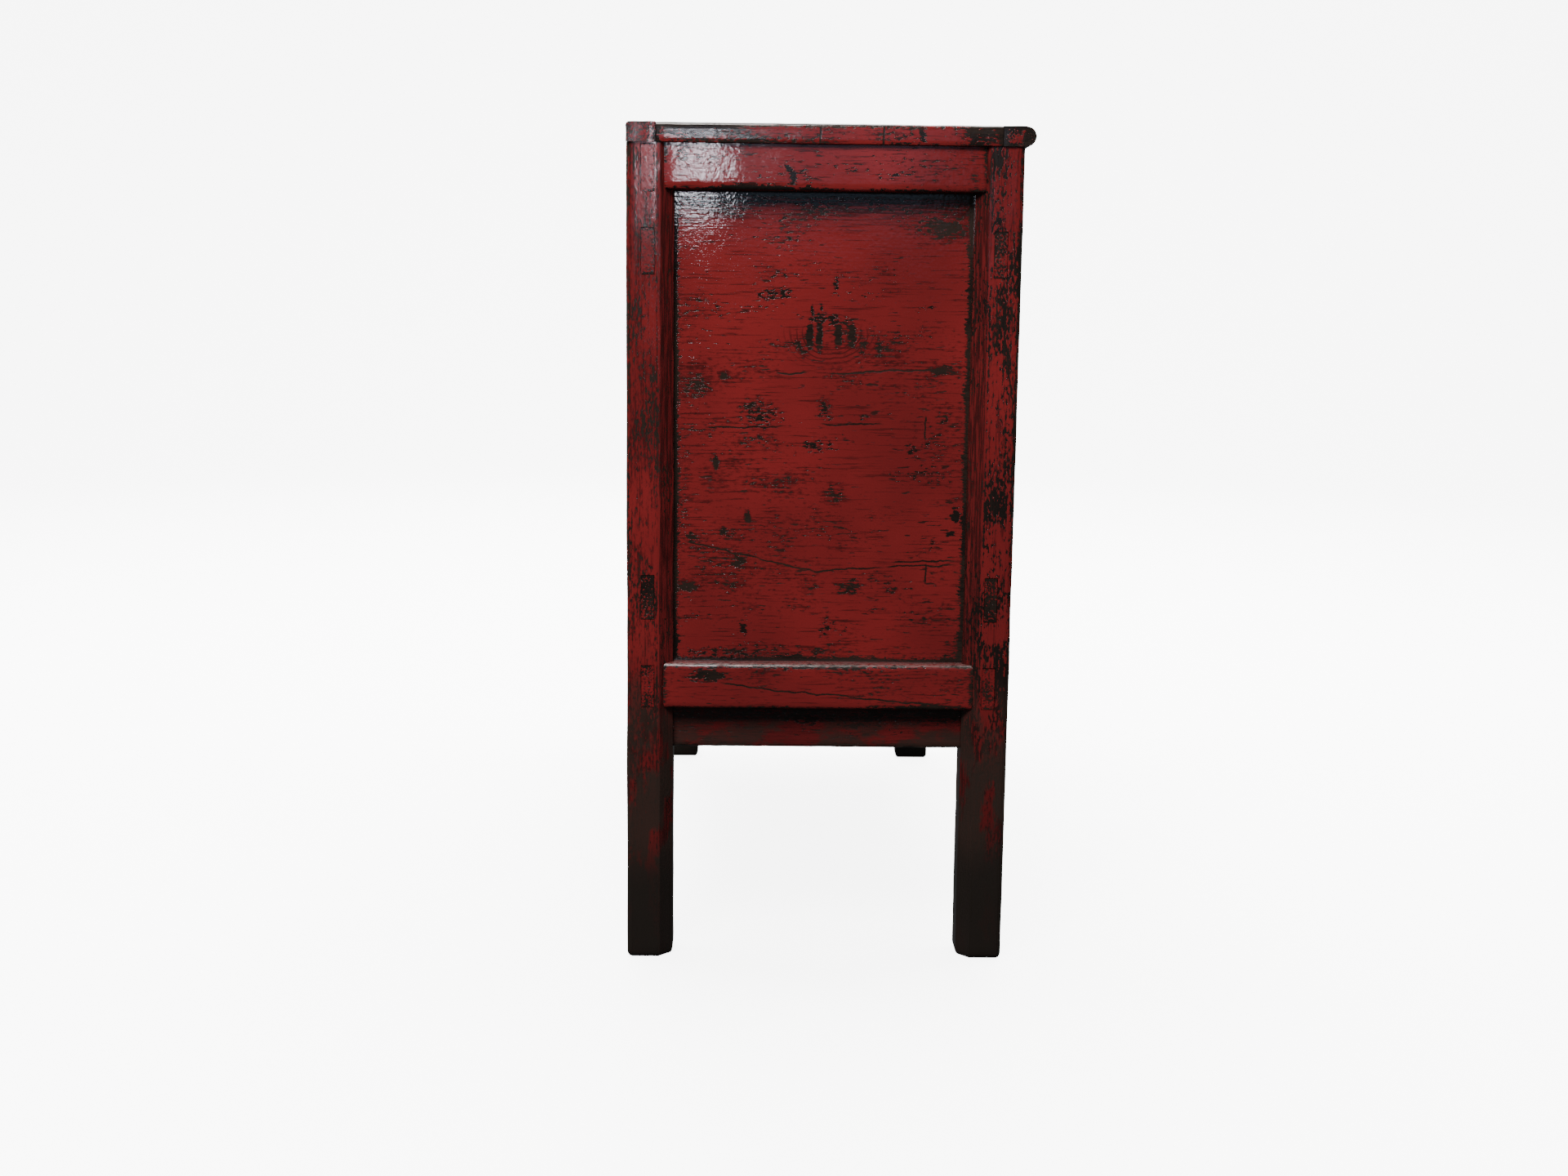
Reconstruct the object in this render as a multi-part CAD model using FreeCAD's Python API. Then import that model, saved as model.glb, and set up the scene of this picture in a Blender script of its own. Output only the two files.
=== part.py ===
import FreeCAD, Part

import math
import os

from FreeCAD import Vector

# A lacquered sideboard: two drawers over two doors in a frame-and-panel case on four straight legs.
# Millimetres. X runs along the length, the front faces -Y, Z is up, and the origin is on the floor
# at the middle of the overall outline. "Left" is the -X end. Depths into the case are measured from
# the outer face of the posts, so one value serves both ends, or the front and the back alike.

# Overall sizes of the case, measured over the posts
CASE_LENGTH = 916.0
CASE_DEPTH = 400.0
HEIGHT = 870.0

# Heights of what is stacked between the top and the legs, from the top down
TOP_THICK = 20.0
DRAWER_OPENING_TALL = 82.0
DRAWER_RAIL_TALL = 50.0
DOOR_OPENING_TALL = 303.0
SILL_RAIL_TALL = 50.0
WAIST_TALL = 45.0
BOTTOM_RAIL_TALL = 48.0
APRON_TALL = 45.0
SIDE_TOP_RAIL_TALL = 46.0
BACK_TOP_RAIL_TALL = 50.0

# Posts: the inner edge of each end face is chamfered, the outer corner is rounded
POST_ALONG = 46.0
POST_DEEP = 48.0
POST_CHAMFER = 13.0
POST_ROUND = 5.0
POST_FRONT_ARRIS = 2.5
FOOT_CHAMFER = 2.0
POST_TENON_ALONG = 20.0
POST_TENON_DEEP = 12.0
POST_TENON_TALL = 11.0
POST_TENON_INSET = 3.0

# Top: a bullnose front rail and a back rail run through, end caps are tenoned between them
TOP_END_OVERHANG = 2.0
TOP_FRONT_OVERHANG = 10.0
NOSING_WIDE = 33.0
TOP_BACK_WIDE = 30.0
TOP_BACK_ARRIS = 4.0
END_CAP_WIDE = 55.0
END_CAP_ARRIS = 3.0
END_CAP_UNDER_ARRIS = 1.0
END_CAP_TENON_WIDE = 30.0
END_CAP_TENON_THICK = 9.0
END_CAP_TENON_LONG = 14.0
END_CAP_TENON_INSET = 9.0
TOP_BOARD_THICK = 14.0
TOP_TONGUE_THICK = 6.0
TOP_TONGUE_LONG = 8.0
BATTEN_WIDE = 36.0
BATTEN_FLARE = 4.0
BATTEN_FROM_MIDDLE = 215.0

# Rails and their joints
SIDE_RAIL_SETBACK = 2.5
SIDE_RAIL_THICK = 36.5
SIDE_RAIL_ARRIS = 3.5
STUB_TENON_LONG = 17.0
STUB_TENON_SHOULDER = 5.0
STUB_TENON_WALL = 1.0
FACE_SETBACK = 2.0
FRONT_RAIL_THICK = 36.0
BACK_RAIL_THICK = 30.0
LONG_RAIL_ARRIS = 2.0
THROUGH_TENON_THICK = 13.0
THROUGH_TENON_DEPTH = 22.0
THROUGH_TENON_SHOULDER = 2.0
TENON_SUNK = 0.5
JOINT_GAP = 0.1

# How far a cutter runs past what it cuts, and how near two places count as the same
CUT_PAST = 1.0
SAME_PLACE = 1e-6

# Panels and aprons let into grooves
GROOVE_DEEP = 8.0
GROOVE_SLACK = 0.5
SIDE_PANEL_RECESS = 21.0
SIDE_PANEL_THICK = 10.0
SIDE_APRON_RECESS = 21.0
SIDE_APRON_THICK = 12.0
APRON_ARRIS = 2.5
WAIST_RECESS = 5.0
WAIST_THICK = 8.0
FRONT_APRON_RECESS = 4.0
FRONT_APRON_THICK = 10.0
SPANDREL_LONG = 74.0
SPANDREL_RISE = 22.0
SPANDREL_BULGE = 2.75
BACK_PANEL_RECESS = 4.0
BACK_PANEL_THICK = 9.0
FLOOR_THICK = 12.0
FLOOR_ABOVE_RAIL_BOTTOM = 24.0
FLOOR_PLANKS = 3
BOARD_GAP = 0.4

# Drawer runners and the post between the drawers
DIVIDER_WIDE = 36.0
DIVIDER_TENON_TALL = 9.0
DIVIDER_TENON_INSET = 6.0
DIVIDER_TENON_SHOULDER = 3.0
DIVIDER_TENON_WALL = 2.0
RUNNER_WIDE = 30.0
RUNNER_THICK = 20.0
RUNNER_TENON_LONG = 8.0
RUNNER_TENON_THICK = 10.0
GUIDE_THICK = 12.0
GUIDE_TALL = 22.0

# Drawers
DRAWER_GAP = 1.5
DRAWER_RIDE = 0.3
DRAWER_STOP_GAP = 0.3
DRAWER_HEADROOM = 4.0
DRAWER_FRONT_THICK = 20.0
DRAWER_FRONT_ARRIS = 2.0
DRAWER_SIDE_THICK = 12.0
DRAWER_BACK_THICK = 10.0
DRAWER_BOTTOM_THICK = 6.0
DRAWER_BOTTOM_LIFT = 8.0
DRAWER_GROOVE_DEEP = 5.0
TAIL_COUNT = 2
TAIL_ROOT_TALL = 14.0
TAIL_TIP_TALL = 20.0
TAIL_LAP = 6.0

# Doors: each turns on round pivots left standing on the ends of its hinge stile
DOOR_THICK = 22.0
DOOR_GAP = 1.5
DOOR_MEETING_GAP = 2.0
DOOR_STOP_GAP = 0.5
DOOR_STOP_LIP = 6.0
DOOR_STILE_WIDE = 48.0
DOOR_RAIL_TALL = 44.0
DOOR_ARRIS = 1.5
DOOR_TENON_LONG = 20.0
DOOR_TENON_THICK = 8.0
DOOR_TENON_SHOULDER = 10.0
DOOR_PANEL_THICK = 8.0
DOOR_PANEL_GROOVE = 7.0
DOOR_PANEL_RECESS = 6.0
PIVOT_RADIUS = 6.0
PIVOT_CLEARANCE = 0.1
TOP_PIVOT_LONG = 14.0
BOTTOM_PIVOT_LONG = 12.0
PIVOT_END_GAP = 0.3

# Brass pulls: a plate with a staple, and a drop that swings on the staple's bar
PLATE_THICK = 1.4
ROSETTE_RADIUS = 21.0
ROSETTE_BOSS_RADIUS = 9.0
ROSETTE_BOSS_TALL = 1.2
DOOR_PLATE_RADIUS = 42.0
DOOR_PULL_FROM_EDGE = 20.0
STAPLE_RADIUS = 1.5
STAPLE_LEG_WIDE = 3.6
STAPLE_SPAN = 11.0
STAPLE_REACH = 9.0
EYE_RADIUS = 3.8
EYE_LONG = 6.0
EYE_CLEARANCE = 0.1
DROP_SIDES = 12
DROP_LONG = 34.0
DROP_NECK_RADIUS = 2.2
DROP_BULB_RADIUS = 6.0
DROP_TIP_RADIUS = 1.5
DROP_TIP_TALL = 8.0
DROP_BELT_TALL = 2.5
DROP_SHOULDER_TALL = 8.5

# Places worked out from the sizes above
UNDER_TOP = HEIGHT - TOP_THICK
DRAWER_RAIL_TOP = UNDER_TOP - DRAWER_OPENING_TALL
DRAWER_RAIL_BOTTOM = DRAWER_RAIL_TOP - DRAWER_RAIL_TALL
SILL_TOP = DRAWER_RAIL_BOTTOM - DOOR_OPENING_TALL
SILL_BOTTOM = SILL_TOP - SILL_RAIL_TALL
BOTTOM_RAIL_TOP = SILL_BOTTOM - WAIST_TALL
BOTTOM_RAIL_BOTTOM = BOTTOM_RAIL_TOP - BOTTOM_RAIL_TALL
APRON_BOTTOM = BOTTOM_RAIL_BOTTOM - APRON_TALL
SIDE_TOP_RAIL_BOTTOM = UNDER_TOP - SIDE_TOP_RAIL_TALL
BACK_TOP_RAIL_BOTTOM = UNDER_TOP - BACK_TOP_RAIL_TALL

PULL_REACH = PLATE_THICK + STAPLE_REACH + DROP_BULB_RADIUS - FACE_SETBACK
FRONT_REACH = max(PULL_REACH, TOP_FRONT_OVERHANG)
FRONT = -(CASE_DEPTH + FRONT_REACH) / 2 + FRONT_REACH
BACK = FRONT + CASE_DEPTH
END = -CASE_LENGTH / 2
INNER_X = END + POST_ALONG
INNER_FRONT = FRONT + POST_DEEP
INNER_BACK = BACK - POST_DEEP
FACE = FRONT + FACE_SETBACK
FRONT_RAIL_BACK = FACE + FRONT_RAIL_THICK
BACK_RAIL_FRONT = BACK - FACE_SETBACK - BACK_RAIL_THICK
SIDE_RAIL_INNER = END + SIDE_RAIL_SETBACK + SIDE_RAIL_THICK
TOP_END = END - TOP_END_OVERHANG
NOSING_BACK = FRONT - TOP_FRONT_OVERHANG + NOSING_WIDE
TOP_BACK_FRONT = BACK - TOP_BACK_WIDE
TOP_BOARD_UNDER = HEIGHT - TOP_BOARD_THICK


# Small helpers

def block(x, y, z):
    """A box from its (low, high) limits along each axis."""
    return Part.makeBox(x[1] - x[0], y[1] - y[0], z[1] - z[0], Vector(x[0], y[0], z[0]))


def grown(limits, gap):
    """(low, high) limits moved apart by a gap at each end."""
    return (limits[0] - gap, limits[1] + gap)


def extruded(points, direction):
    """A closed outline of straight edges, pushed along a direction."""
    return Part.Face(Part.makePolygon(points + points[:1])).extrude(direction)


def plan(points, z):
    """An outline drawn in plan, as (x, y) points, between two heights."""
    return extruded([Vector(x, y, z[0]) for x, y in points], Vector(0, 0, z[1] - z[0]))


def joined(*shapes):
    """One solid out of touching or overlapping ones, with the seams between flat faces removed."""
    return shapes[0].fuse(list(shapes[1:])).removeSplitter().Solids[0]


def without(shape, *cutters):
    """A solid with the cutters taken out of it."""
    return shape.cut(list(cutters)).Solids[0]


def eased(shape, radius, *lines):
    """The straight edges on the given lines, each named by two of its coordinates, rounded over."""
    def lies_on(edge, line):
        return all(abs(getattr(v.Point, axis) - at) < SAME_PLACE
                   for v in edge.Vertexes for axis, at in line.items())

    edges = [e for e in shape.Edges if any(lies_on(e, line) for line in lines)]
    return shape.makeFillet(radius, edges)


def other_end(shape):
    """The same piece at the right-hand end."""
    return shape.mirror(Vector(0, 0, 0), Vector(1, 0, 0))


def front_depth(depth, thick):
    """Limits in Y of a layer that starts at a depth behind the front of the posts."""
    return (FRONT + depth, FRONT + depth + thick)


def back_depth(depth, thick):
    """Limits in Y of a layer that starts at a depth before the back of the posts."""
    return (BACK - depth - thick, BACK - depth)


def end_depth(depth, thick):
    """Limits in X of a layer that starts at a depth inside the left end of the posts."""
    return (END + depth, END + depth + thick)


# Limits that a piece shares with the groove, mortise or gap that takes it

FRONT_TENON_Y = front_depth(THROUGH_TENON_DEPTH - THROUGH_TENON_THICK / 2, THROUGH_TENON_THICK)
BACK_TENON_Y = back_depth(THROUGH_TENON_DEPTH - THROUGH_TENON_THICK / 2, THROUGH_TENON_THICK)
STUB_TENON_X = (END + SIDE_RAIL_SETBACK + STUB_TENON_SHOULDER, END + SIDE_PANEL_RECESS - STUB_TENON_WALL)
SIDE_PANEL_X = end_depth(SIDE_PANEL_RECESS, SIDE_PANEL_THICK)
SIDE_APRON_X = end_depth(SIDE_APRON_RECESS, SIDE_APRON_THICK)
WAIST_Y = front_depth(WAIST_RECESS, WAIST_THICK)
FRONT_APRON_Y = front_depth(FRONT_APRON_RECESS, FRONT_APRON_THICK)
BACK_PANEL_Y = back_depth(BACK_PANEL_RECESS, BACK_PANEL_THICK)
FLOOR_Z = (BOTTOM_RAIL_BOTTOM + FLOOR_ABOVE_RAIL_BOTTOM,
           BOTTOM_RAIL_BOTTOM + FLOOR_ABOVE_RAIL_BOTTOM + FLOOR_THICK)

SIDE_TOP_RAIL_Z = (SIDE_TOP_RAIL_BOTTOM, UNDER_TOP)
BACK_TOP_RAIL_Z = (BACK_TOP_RAIL_BOTTOM, UNDER_TOP)
DRAWER_RAIL_Z = (DRAWER_RAIL_BOTTOM, DRAWER_RAIL_TOP)
SILL_Z = (SILL_BOTTOM, SILL_TOP)
BOTTOM_RAIL_Z = (BOTTOM_RAIL_BOTTOM, BOTTOM_RAIL_TOP)
FRONT_RAIL_LEVELS = (DRAWER_RAIL_Z, SILL_Z, BOTTOM_RAIL_Z)
BACK_RAIL_LEVELS = (BACK_TOP_RAIL_Z, DRAWER_RAIL_Z, SILL_Z, BOTTOM_RAIL_Z)

# What stands in a groove at its edges: the gap in the frame and how far it reaches past it
REACH = GROOVE_DEEP - GROOVE_SLACK
SIDE_PANEL_Z = grown((BOTTOM_RAIL_TOP, SIDE_TOP_RAIL_BOTTOM), REACH)
APRON_Z = (APRON_BOTTOM, BOTTOM_RAIL_BOTTOM + REACH)
WAIST_Z = grown((BOTTOM_RAIL_TOP, SILL_BOTTOM), REACH)
BACK_PANEL_LEVELS = {
    "upper": grown((DRAWER_RAIL_TOP, BACK_TOP_RAIL_BOTTOM), REACH),
    "main": grown((SILL_TOP, DRAWER_RAIL_BOTTOM), REACH),
    "lower": grown((BOTTOM_RAIL_TOP, SILL_BOTTOM), REACH),
}
ALONG_CASE = (INNER_X, -INNER_X)
ACROSS_CASE = (INNER_FRONT, INNER_BACK)


# Posts

def post_tenon(y_inner, toward_outside, gap=0.0):
    """The stub on top of a post that stands in the end cap."""
    y_near = y_inner + toward_outside * POST_TENON_INSET
    y_far = y_near + toward_outside * POST_TENON_DEEP
    x = end_depth((POST_ALONG - POST_TENON_ALONG) / 2, POST_TENON_ALONG)
    y = (min(y_near, y_far), max(y_near, y_far))
    return block(grown(x, gap), grown(y, gap), (UNDER_TOP, UNDER_TOP + POST_TENON_TALL + gap))


def through_mortise(y, z):
    """The slot right through a post for a long rail's tenon."""
    tenon_z = grown(z, -THROUGH_TENON_SHOULDER)
    return block((END, INNER_X), grown(y, JOINT_GAP), grown(tenon_z, JOINT_GAP))


def stub_tenon_z(z):
    return grown(z, -STUB_TENON_SHOULDER)


def post(outer_y, inner_y, tenon_y, levels, grooves):
    """A left-hand post between its outer face and its inner face in Y, with its joints cut."""
    toward_outside = 1 if outer_y > inner_y else -1
    chamfer_y = inner_y + toward_outside * POST_CHAMFER
    outline = [(END, outer_y), (INNER_X, outer_y), (INNER_X, inner_y),
               (END + POST_CHAMFER, inner_y), (END, chamfer_y)]
    shaft = plan(outline, (0, UNDER_TOP))
    shaft = eased(shaft, POST_ROUND, dict(x=END, y=outer_y))
    shaft = eased(shaft, POST_FRONT_ARRIS, dict(x=INNER_X, y=outer_y))
    foot_edges = [e for e in shaft.Edges if all(abs(v.Z) < SAME_PLACE for v in e.Vertexes)]
    shaft = shaft.makeChamfer(FOOT_CHAMFER, foot_edges)
    shaft = joined(shaft, post_tenon(inner_y, toward_outside))

    cuts = [through_mortise(tenon_y, z) for z in levels]
    stub_end = inner_y + toward_outside * (STUB_TENON_LONG + JOINT_GAP)
    stub_y = (min(inner_y, stub_end), max(inner_y, stub_end))
    for z in (SIDE_TOP_RAIL_Z, BOTTOM_RAIL_Z):
        cuts.append(block(grown(STUB_TENON_X, JOINT_GAP), stub_y, grown(stub_tenon_z(z), JOINT_GAP)))
    groove_end = inner_y + toward_outside * GROOVE_DEEP
    groove_y = (min(inner_y, groove_end), max(inner_y, groove_end))
    cuts.append(block(grown(SIDE_PANEL_X, JOINT_GAP), groove_y, grown(SIDE_PANEL_Z, GROOVE_SLACK)))
    cuts.append(block(grown(SIDE_APRON_X, JOINT_GAP), groove_y, grown(APRON_Z, JOINT_GAP)))
    for y, z in grooves:
        cuts.append(block((INNER_X - GROOVE_DEEP, INNER_X), grown(y, JOINT_GAP), grown(z, GROOVE_SLACK)))
    return without(shaft, *cuts)


def front_post():
    grooves = [(WAIST_Y, WAIST_Z), (FRONT_APRON_Y, APRON_Z)]
    return post(FRONT, INNER_FRONT, FRONT_TENON_Y, FRONT_RAIL_LEVELS, grooves)


def back_post():
    grooves = [(BACK_PANEL_Y, z) for z in BACK_PANEL_LEVELS.values()]
    return post(BACK, INNER_BACK, BACK_TENON_Y, BACK_RAIL_LEVELS, grooves)


# End frames

def side_rail(z, open_edges_z, panel_groove_z, apron_groove=False, floor_groove=False):
    """A rail across the left end, scribed to the posts' chamfers, with stub tenons and its open edges eased."""
    face_x = END + SIDE_RAIL_SETBACK
    scribe = POST_CHAMFER - SIDE_RAIL_SETBACK
    outline = [(face_x, INNER_FRONT - scribe), (END + POST_CHAMFER, INNER_FRONT),
               (SIDE_RAIL_INNER, INNER_FRONT), (SIDE_RAIL_INNER, INNER_BACK),
               (END + POST_CHAMFER, INNER_BACK), (face_x, INNER_BACK + scribe)]
    rail = plan(outline, z)
    rail = eased(rail, SIDE_RAIL_ARRIS, *[dict(x=face_x, z=edge_z) for edge_z in open_edges_z])
    tenon = block(STUB_TENON_X, grown(ACROSS_CASE, STUB_TENON_LONG), stub_tenon_z(z))
    rail = joined(rail, tenon)
    cuts = [block(grown(SIDE_PANEL_X, JOINT_GAP), ACROSS_CASE, panel_groove_z)]
    if apron_groove:
        groove_z = (z[0], z[0] + GROOVE_DEEP)
        cuts.append(block(grown(SIDE_APRON_X, JOINT_GAP), ACROSS_CASE, groove_z))
    if floor_groove:
        groove_x = (SIDE_RAIL_INNER - GROOVE_DEEP, SIDE_RAIL_INNER)
        cuts.append(block(groove_x, ACROSS_CASE, grown(FLOOR_Z, JOINT_GAP)))
    return without(rail, *cuts)


def side_top_rail():
    """Its upper edge stays square, because the top lies on it."""
    groove_z = (SIDE_TOP_RAIL_BOTTOM, SIDE_TOP_RAIL_BOTTOM + GROOVE_DEEP)
    return side_rail(SIDE_TOP_RAIL_Z, SIDE_TOP_RAIL_Z[:1], groove_z)


def side_bottom_rail():
    groove_z = (BOTTOM_RAIL_TOP - GROOVE_DEEP, BOTTOM_RAIL_TOP)
    return side_rail(BOTTOM_RAIL_Z, BOTTOM_RAIL_Z, groove_z, apron_groove=True, floor_groove=True)


def side_panel():
    return block(SIDE_PANEL_X, grown(ACROSS_CASE, REACH), SIDE_PANEL_Z)


def side_apron():
    board = block(SIDE_APRON_X, grown(ACROSS_CASE, REACH), APRON_Z)
    return eased(board, APRON_ARRIS, dict(x=SIDE_APRON_X[0], z=APRON_BOTTOM))


# Long rails of the front and the back

def long_rail(y, z, tenon_y, face_y):
    """A rail from post to post whose tenons pass through the posts and end just short of their faces."""
    rail = block(ALONG_CASE, y, z)
    rail = eased(rail, LONG_RAIL_ARRIS, dict(y=face_y, z=z[0]), dict(y=face_y, z=z[1]))
    tenon_x = grown(ALONG_CASE, POST_ALONG - TENON_SUNK)
    return joined(rail, block(tenon_x, tenon_y, grown(z, -THROUGH_TENON_SHOULDER)))


def front_rail(z):
    return long_rail((FACE, FRONT_RAIL_BACK), z, FRONT_TENON_Y, FACE)


def back_rail(z):
    back_face = BACK - FACE_SETBACK
    return long_rail((BACK_RAIL_FRONT, back_face), z, BACK_TENON_Y, back_face)


def groove_along(y, z):
    """A groove worked the whole length of a long rail."""
    return block(ALONG_CASE, grown(y, JOINT_GAP), z)


def floor_groove_along(y_face, into):
    """The groove for the floor in the inner face of a bottom rail, cut toward `into`."""
    y = (min(y_face, y_face + into), max(y_face, y_face + into))
    return block(ALONG_CASE, y, grown(FLOOR_Z, JOINT_GAP))


def runner_mortises(y_face, into):
    """Slots for the ends of the three drawer runners."""
    y = (min(y_face, y_face + into), max(y_face, y_face + into))
    return [block(grown(x, JOINT_GAP), y, grown(RUNNER_TENON_Z, JOINT_GAP)) for x in RUNNER_X]


def pivot_axis():
    """Where the left door turns, in plan."""
    return INNER_X + DOOR_GAP + DOOR_THICK / 2, FACE + DOOR_THICK / 2


def pivot_bore(z_low, tall, x_sign):
    x, y = pivot_axis()
    return Part.makeCylinder(PIVOT_RADIUS + PIVOT_CLEARANCE, tall, Vector(x_sign * x, y, z_low))


def front_drawer_rail():
    """Between the drawers and the doors: the doors' top pivots turn in its underside."""
    stop_y = (FACE + DOOR_THICK + DOOR_STOP_GAP, FRONT_RAIL_BACK)
    lip = block(ALONG_CASE, stop_y, (DRAWER_RAIL_BOTTOM - DOOR_STOP_LIP, DRAWER_RAIL_BOTTOM))
    rail = joined(front_rail(DRAWER_RAIL_Z), lip)
    bore_tall = TOP_PIVOT_LONG - DOOR_GAP + PIVOT_END_GAP
    cuts = [pivot_bore(DRAWER_RAIL_BOTTOM, bore_tall, sign) for sign in (1, -1)]
    cuts += runner_mortises(FRONT_RAIL_BACK, -RUNNER_TENON_LONG - JOINT_GAP)
    divider_z = (DRAWER_RAIL_TOP - DIVIDER_TENON_TALL - JOINT_GAP, DRAWER_RAIL_TOP)
    cuts.append(block(grown(DIVIDER_TENON_X, JOINT_GAP), grown(DIVIDER_TENON_Y, JOINT_GAP), divider_z))
    return without(rail, *cuts)


def front_sill_rail():
    """Under the doors: their bottom pivots turn in its top face, behind which a lip stops the doors."""
    stop_y = (FACE + DOOR_THICK + DOOR_STOP_GAP, FRONT_RAIL_BACK)
    lip = block(ALONG_CASE, stop_y, (SILL_TOP, SILL_TOP + DOOR_STOP_LIP))
    rail = joined(front_rail(SILL_Z), lip)
    bore_tall = BOTTOM_PIVOT_LONG - DOOR_GAP + PIVOT_END_GAP
    cuts = [pivot_bore(SILL_TOP - bore_tall, bore_tall, sign) for sign in (1, -1)]
    cuts.append(groove_along(WAIST_Y, (SILL_BOTTOM, SILL_BOTTOM + GROOVE_DEEP)))
    return without(rail, *cuts)


def front_bottom_rail():
    cuts = [groove_along(WAIST_Y, (BOTTOM_RAIL_TOP - GROOVE_DEEP, BOTTOM_RAIL_TOP)),
            groove_along(FRONT_APRON_Y, (BOTTOM_RAIL_BOTTOM, BOTTOM_RAIL_BOTTOM + GROOVE_DEEP)),
            floor_groove_along(FRONT_RAIL_BACK, -GROOVE_DEEP)]
    return without(front_rail(BOTTOM_RAIL_Z), *cuts)


def front_waist_panel():
    return block(grown(ALONG_CASE, REACH), WAIST_Y, WAIST_Z)


def front_apron():
    """A board under the front whose lower edge rises from each leg in an ogee and then runs straight."""
    x_end = INNER_X - REACH
    x_leg = INNER_X + SPANDREL_RISE
    x_flat = INNER_X + SPANDREL_LONG
    y, z_low, z_high = FRONT_APRON_Y[0], APRON_BOTTOM, APRON_BOTTOM + SPANDREL_RISE
    slope = SPANDREL_LONG - SPANDREL_RISE
    half_slope = Vector((x_leg + x_flat) / 2, y, (z_low + z_high) / 2)
    lower = Vector(x_leg + slope / 4, y, z_low + SPANDREL_RISE / 4 - SPANDREL_BULGE)
    upper = Vector(x_flat - slope / 4, y, z_high - SPANDREL_RISE / 4 + SPANDREL_BULGE)

    def spandrel(sign):
        """The ogee at one end: out along the foot of the spandrel, then two arcs up to the straight."""
        def at(p):
            return Vector(sign * p.x, p.y, p.z)

        foot = Part.LineSegment(at(Vector(x_end, y, z_low)), at(Vector(x_leg, y, z_low)))
        rise = Part.Arc(at(Vector(x_leg, y, z_low)), at(lower), at(half_slope))
        fall = Part.Arc(at(half_slope), at(upper), at(Vector(x_flat, y, z_high)))
        return [foot.toShape(), rise.toShape(), fall.toShape()]

    top_left, top_right = Vector(x_end, y, APRON_Z[1]), Vector(-x_end, y, APRON_Z[1])
    edges = spandrel(1) + spandrel(-1)
    edges.append(Part.makeLine(Vector(x_flat, y, z_high), Vector(-x_flat, y, z_high)))
    edges.append(Part.makeLine(Vector(x_end, y, z_low), top_left))
    edges.append(Part.makeLine(Vector(-x_end, y, z_low), top_right))
    edges.append(Part.makeLine(top_left, top_right))
    outline = Part.Wire(Part.__sortEdges__(edges))
    return Part.Face(outline).extrude(Vector(0, FRONT_APRON_THICK, 0))


def back_top_rail():
    groove_z = (BACK_TOP_RAIL_BOTTOM, BACK_TOP_RAIL_BOTTOM + GROOVE_DEEP)
    return without(back_rail(BACK_TOP_RAIL_Z), groove_along(BACK_PANEL_Y, groove_z))


def back_drawer_rail():
    cuts = [groove_along(BACK_PANEL_Y, (DRAWER_RAIL_TOP - GROOVE_DEEP, DRAWER_RAIL_TOP)),
            groove_along(BACK_PANEL_Y, (DRAWER_RAIL_BOTTOM, DRAWER_RAIL_BOTTOM + GROOVE_DEEP))]
    cuts += runner_mortises(BACK_RAIL_FRONT, RUNNER_TENON_LONG + JOINT_GAP)
    return without(back_rail(DRAWER_RAIL_Z), *cuts)


def back_sill_rail():
    cuts = [groove_along(BACK_PANEL_Y, (SILL_TOP - GROOVE_DEEP, SILL_TOP)),
            groove_along(BACK_PANEL_Y, (SILL_BOTTOM, SILL_BOTTOM + GROOVE_DEEP))]
    return without(back_rail(SILL_Z), *cuts)


def back_bottom_rail():
    cuts = [groove_along(BACK_PANEL_Y, (BOTTOM_RAIL_TOP - GROOVE_DEEP, BOTTOM_RAIL_TOP)),
            floor_groove_along(BACK_RAIL_FRONT, GROOVE_DEEP)]
    return without(back_rail(BOTTOM_RAIL_Z), *cuts)


def back_panel(level):
    return block(grown(ALONG_CASE, REACH), BACK_PANEL_Y, BACK_PANEL_LEVELS[level])


def floor_boards():
    """Planks along the case in the grooves of the bottom rails, notched round the four posts."""
    x_reach = SIDE_RAIL_INNER - REACH
    y_low, y_high = FRONT_RAIL_BACK - REACH, BACK_RAIL_FRONT + REACH
    wide = (y_high - y_low) / FLOOR_PLANKS
    notches = []
    for x in ((END, INNER_X), (-INNER_X, -END)):
        for y in ((FRONT, INNER_FRONT), (INNER_BACK, BACK)):
            notches.append(block(grown(x, GROOVE_SLACK), grown(y, GROOVE_SLACK), grown(FLOOR_Z, CUT_PAST)))
    planks = []
    for i in range(FLOOR_PLANKS):
        y = (y_low + i * wide + BOARD_GAP / 2, y_low + (i + 1) * wide - BOARD_GAP / 2)
        planks.append(without(block((x_reach, -x_reach), y, FLOOR_Z), *notches))
    return Part.makeCompound(planks)


# Drawer runners and divider

RUNNER_Z = (DRAWER_RAIL_TOP - RUNNER_THICK, DRAWER_RAIL_TOP)
RUNNER_TENON_Z = grown(RUNNER_Z, -(RUNNER_THICK - RUNNER_TENON_THICK) / 2)
RUNNER_X = ((INNER_X, INNER_X + RUNNER_WIDE), (-RUNNER_WIDE, RUNNER_WIDE),
            (-INNER_X - RUNNER_WIDE, -INNER_X))
GUIDE_Z = (RUNNER_Z[0], DRAWER_RAIL_TOP + GUIDE_TALL)
DIVIDER_X = (-DIVIDER_WIDE / 2, DIVIDER_WIDE / 2)
DIVIDER_TENON_X = grown(DIVIDER_X, -DIVIDER_TENON_INSET)
DIVIDER_TENON_Y = (FACE + DIVIDER_TENON_SHOULDER, NOSING_BACK - TOP_TONGUE_LONG - DIVIDER_TENON_WALL)


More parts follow.
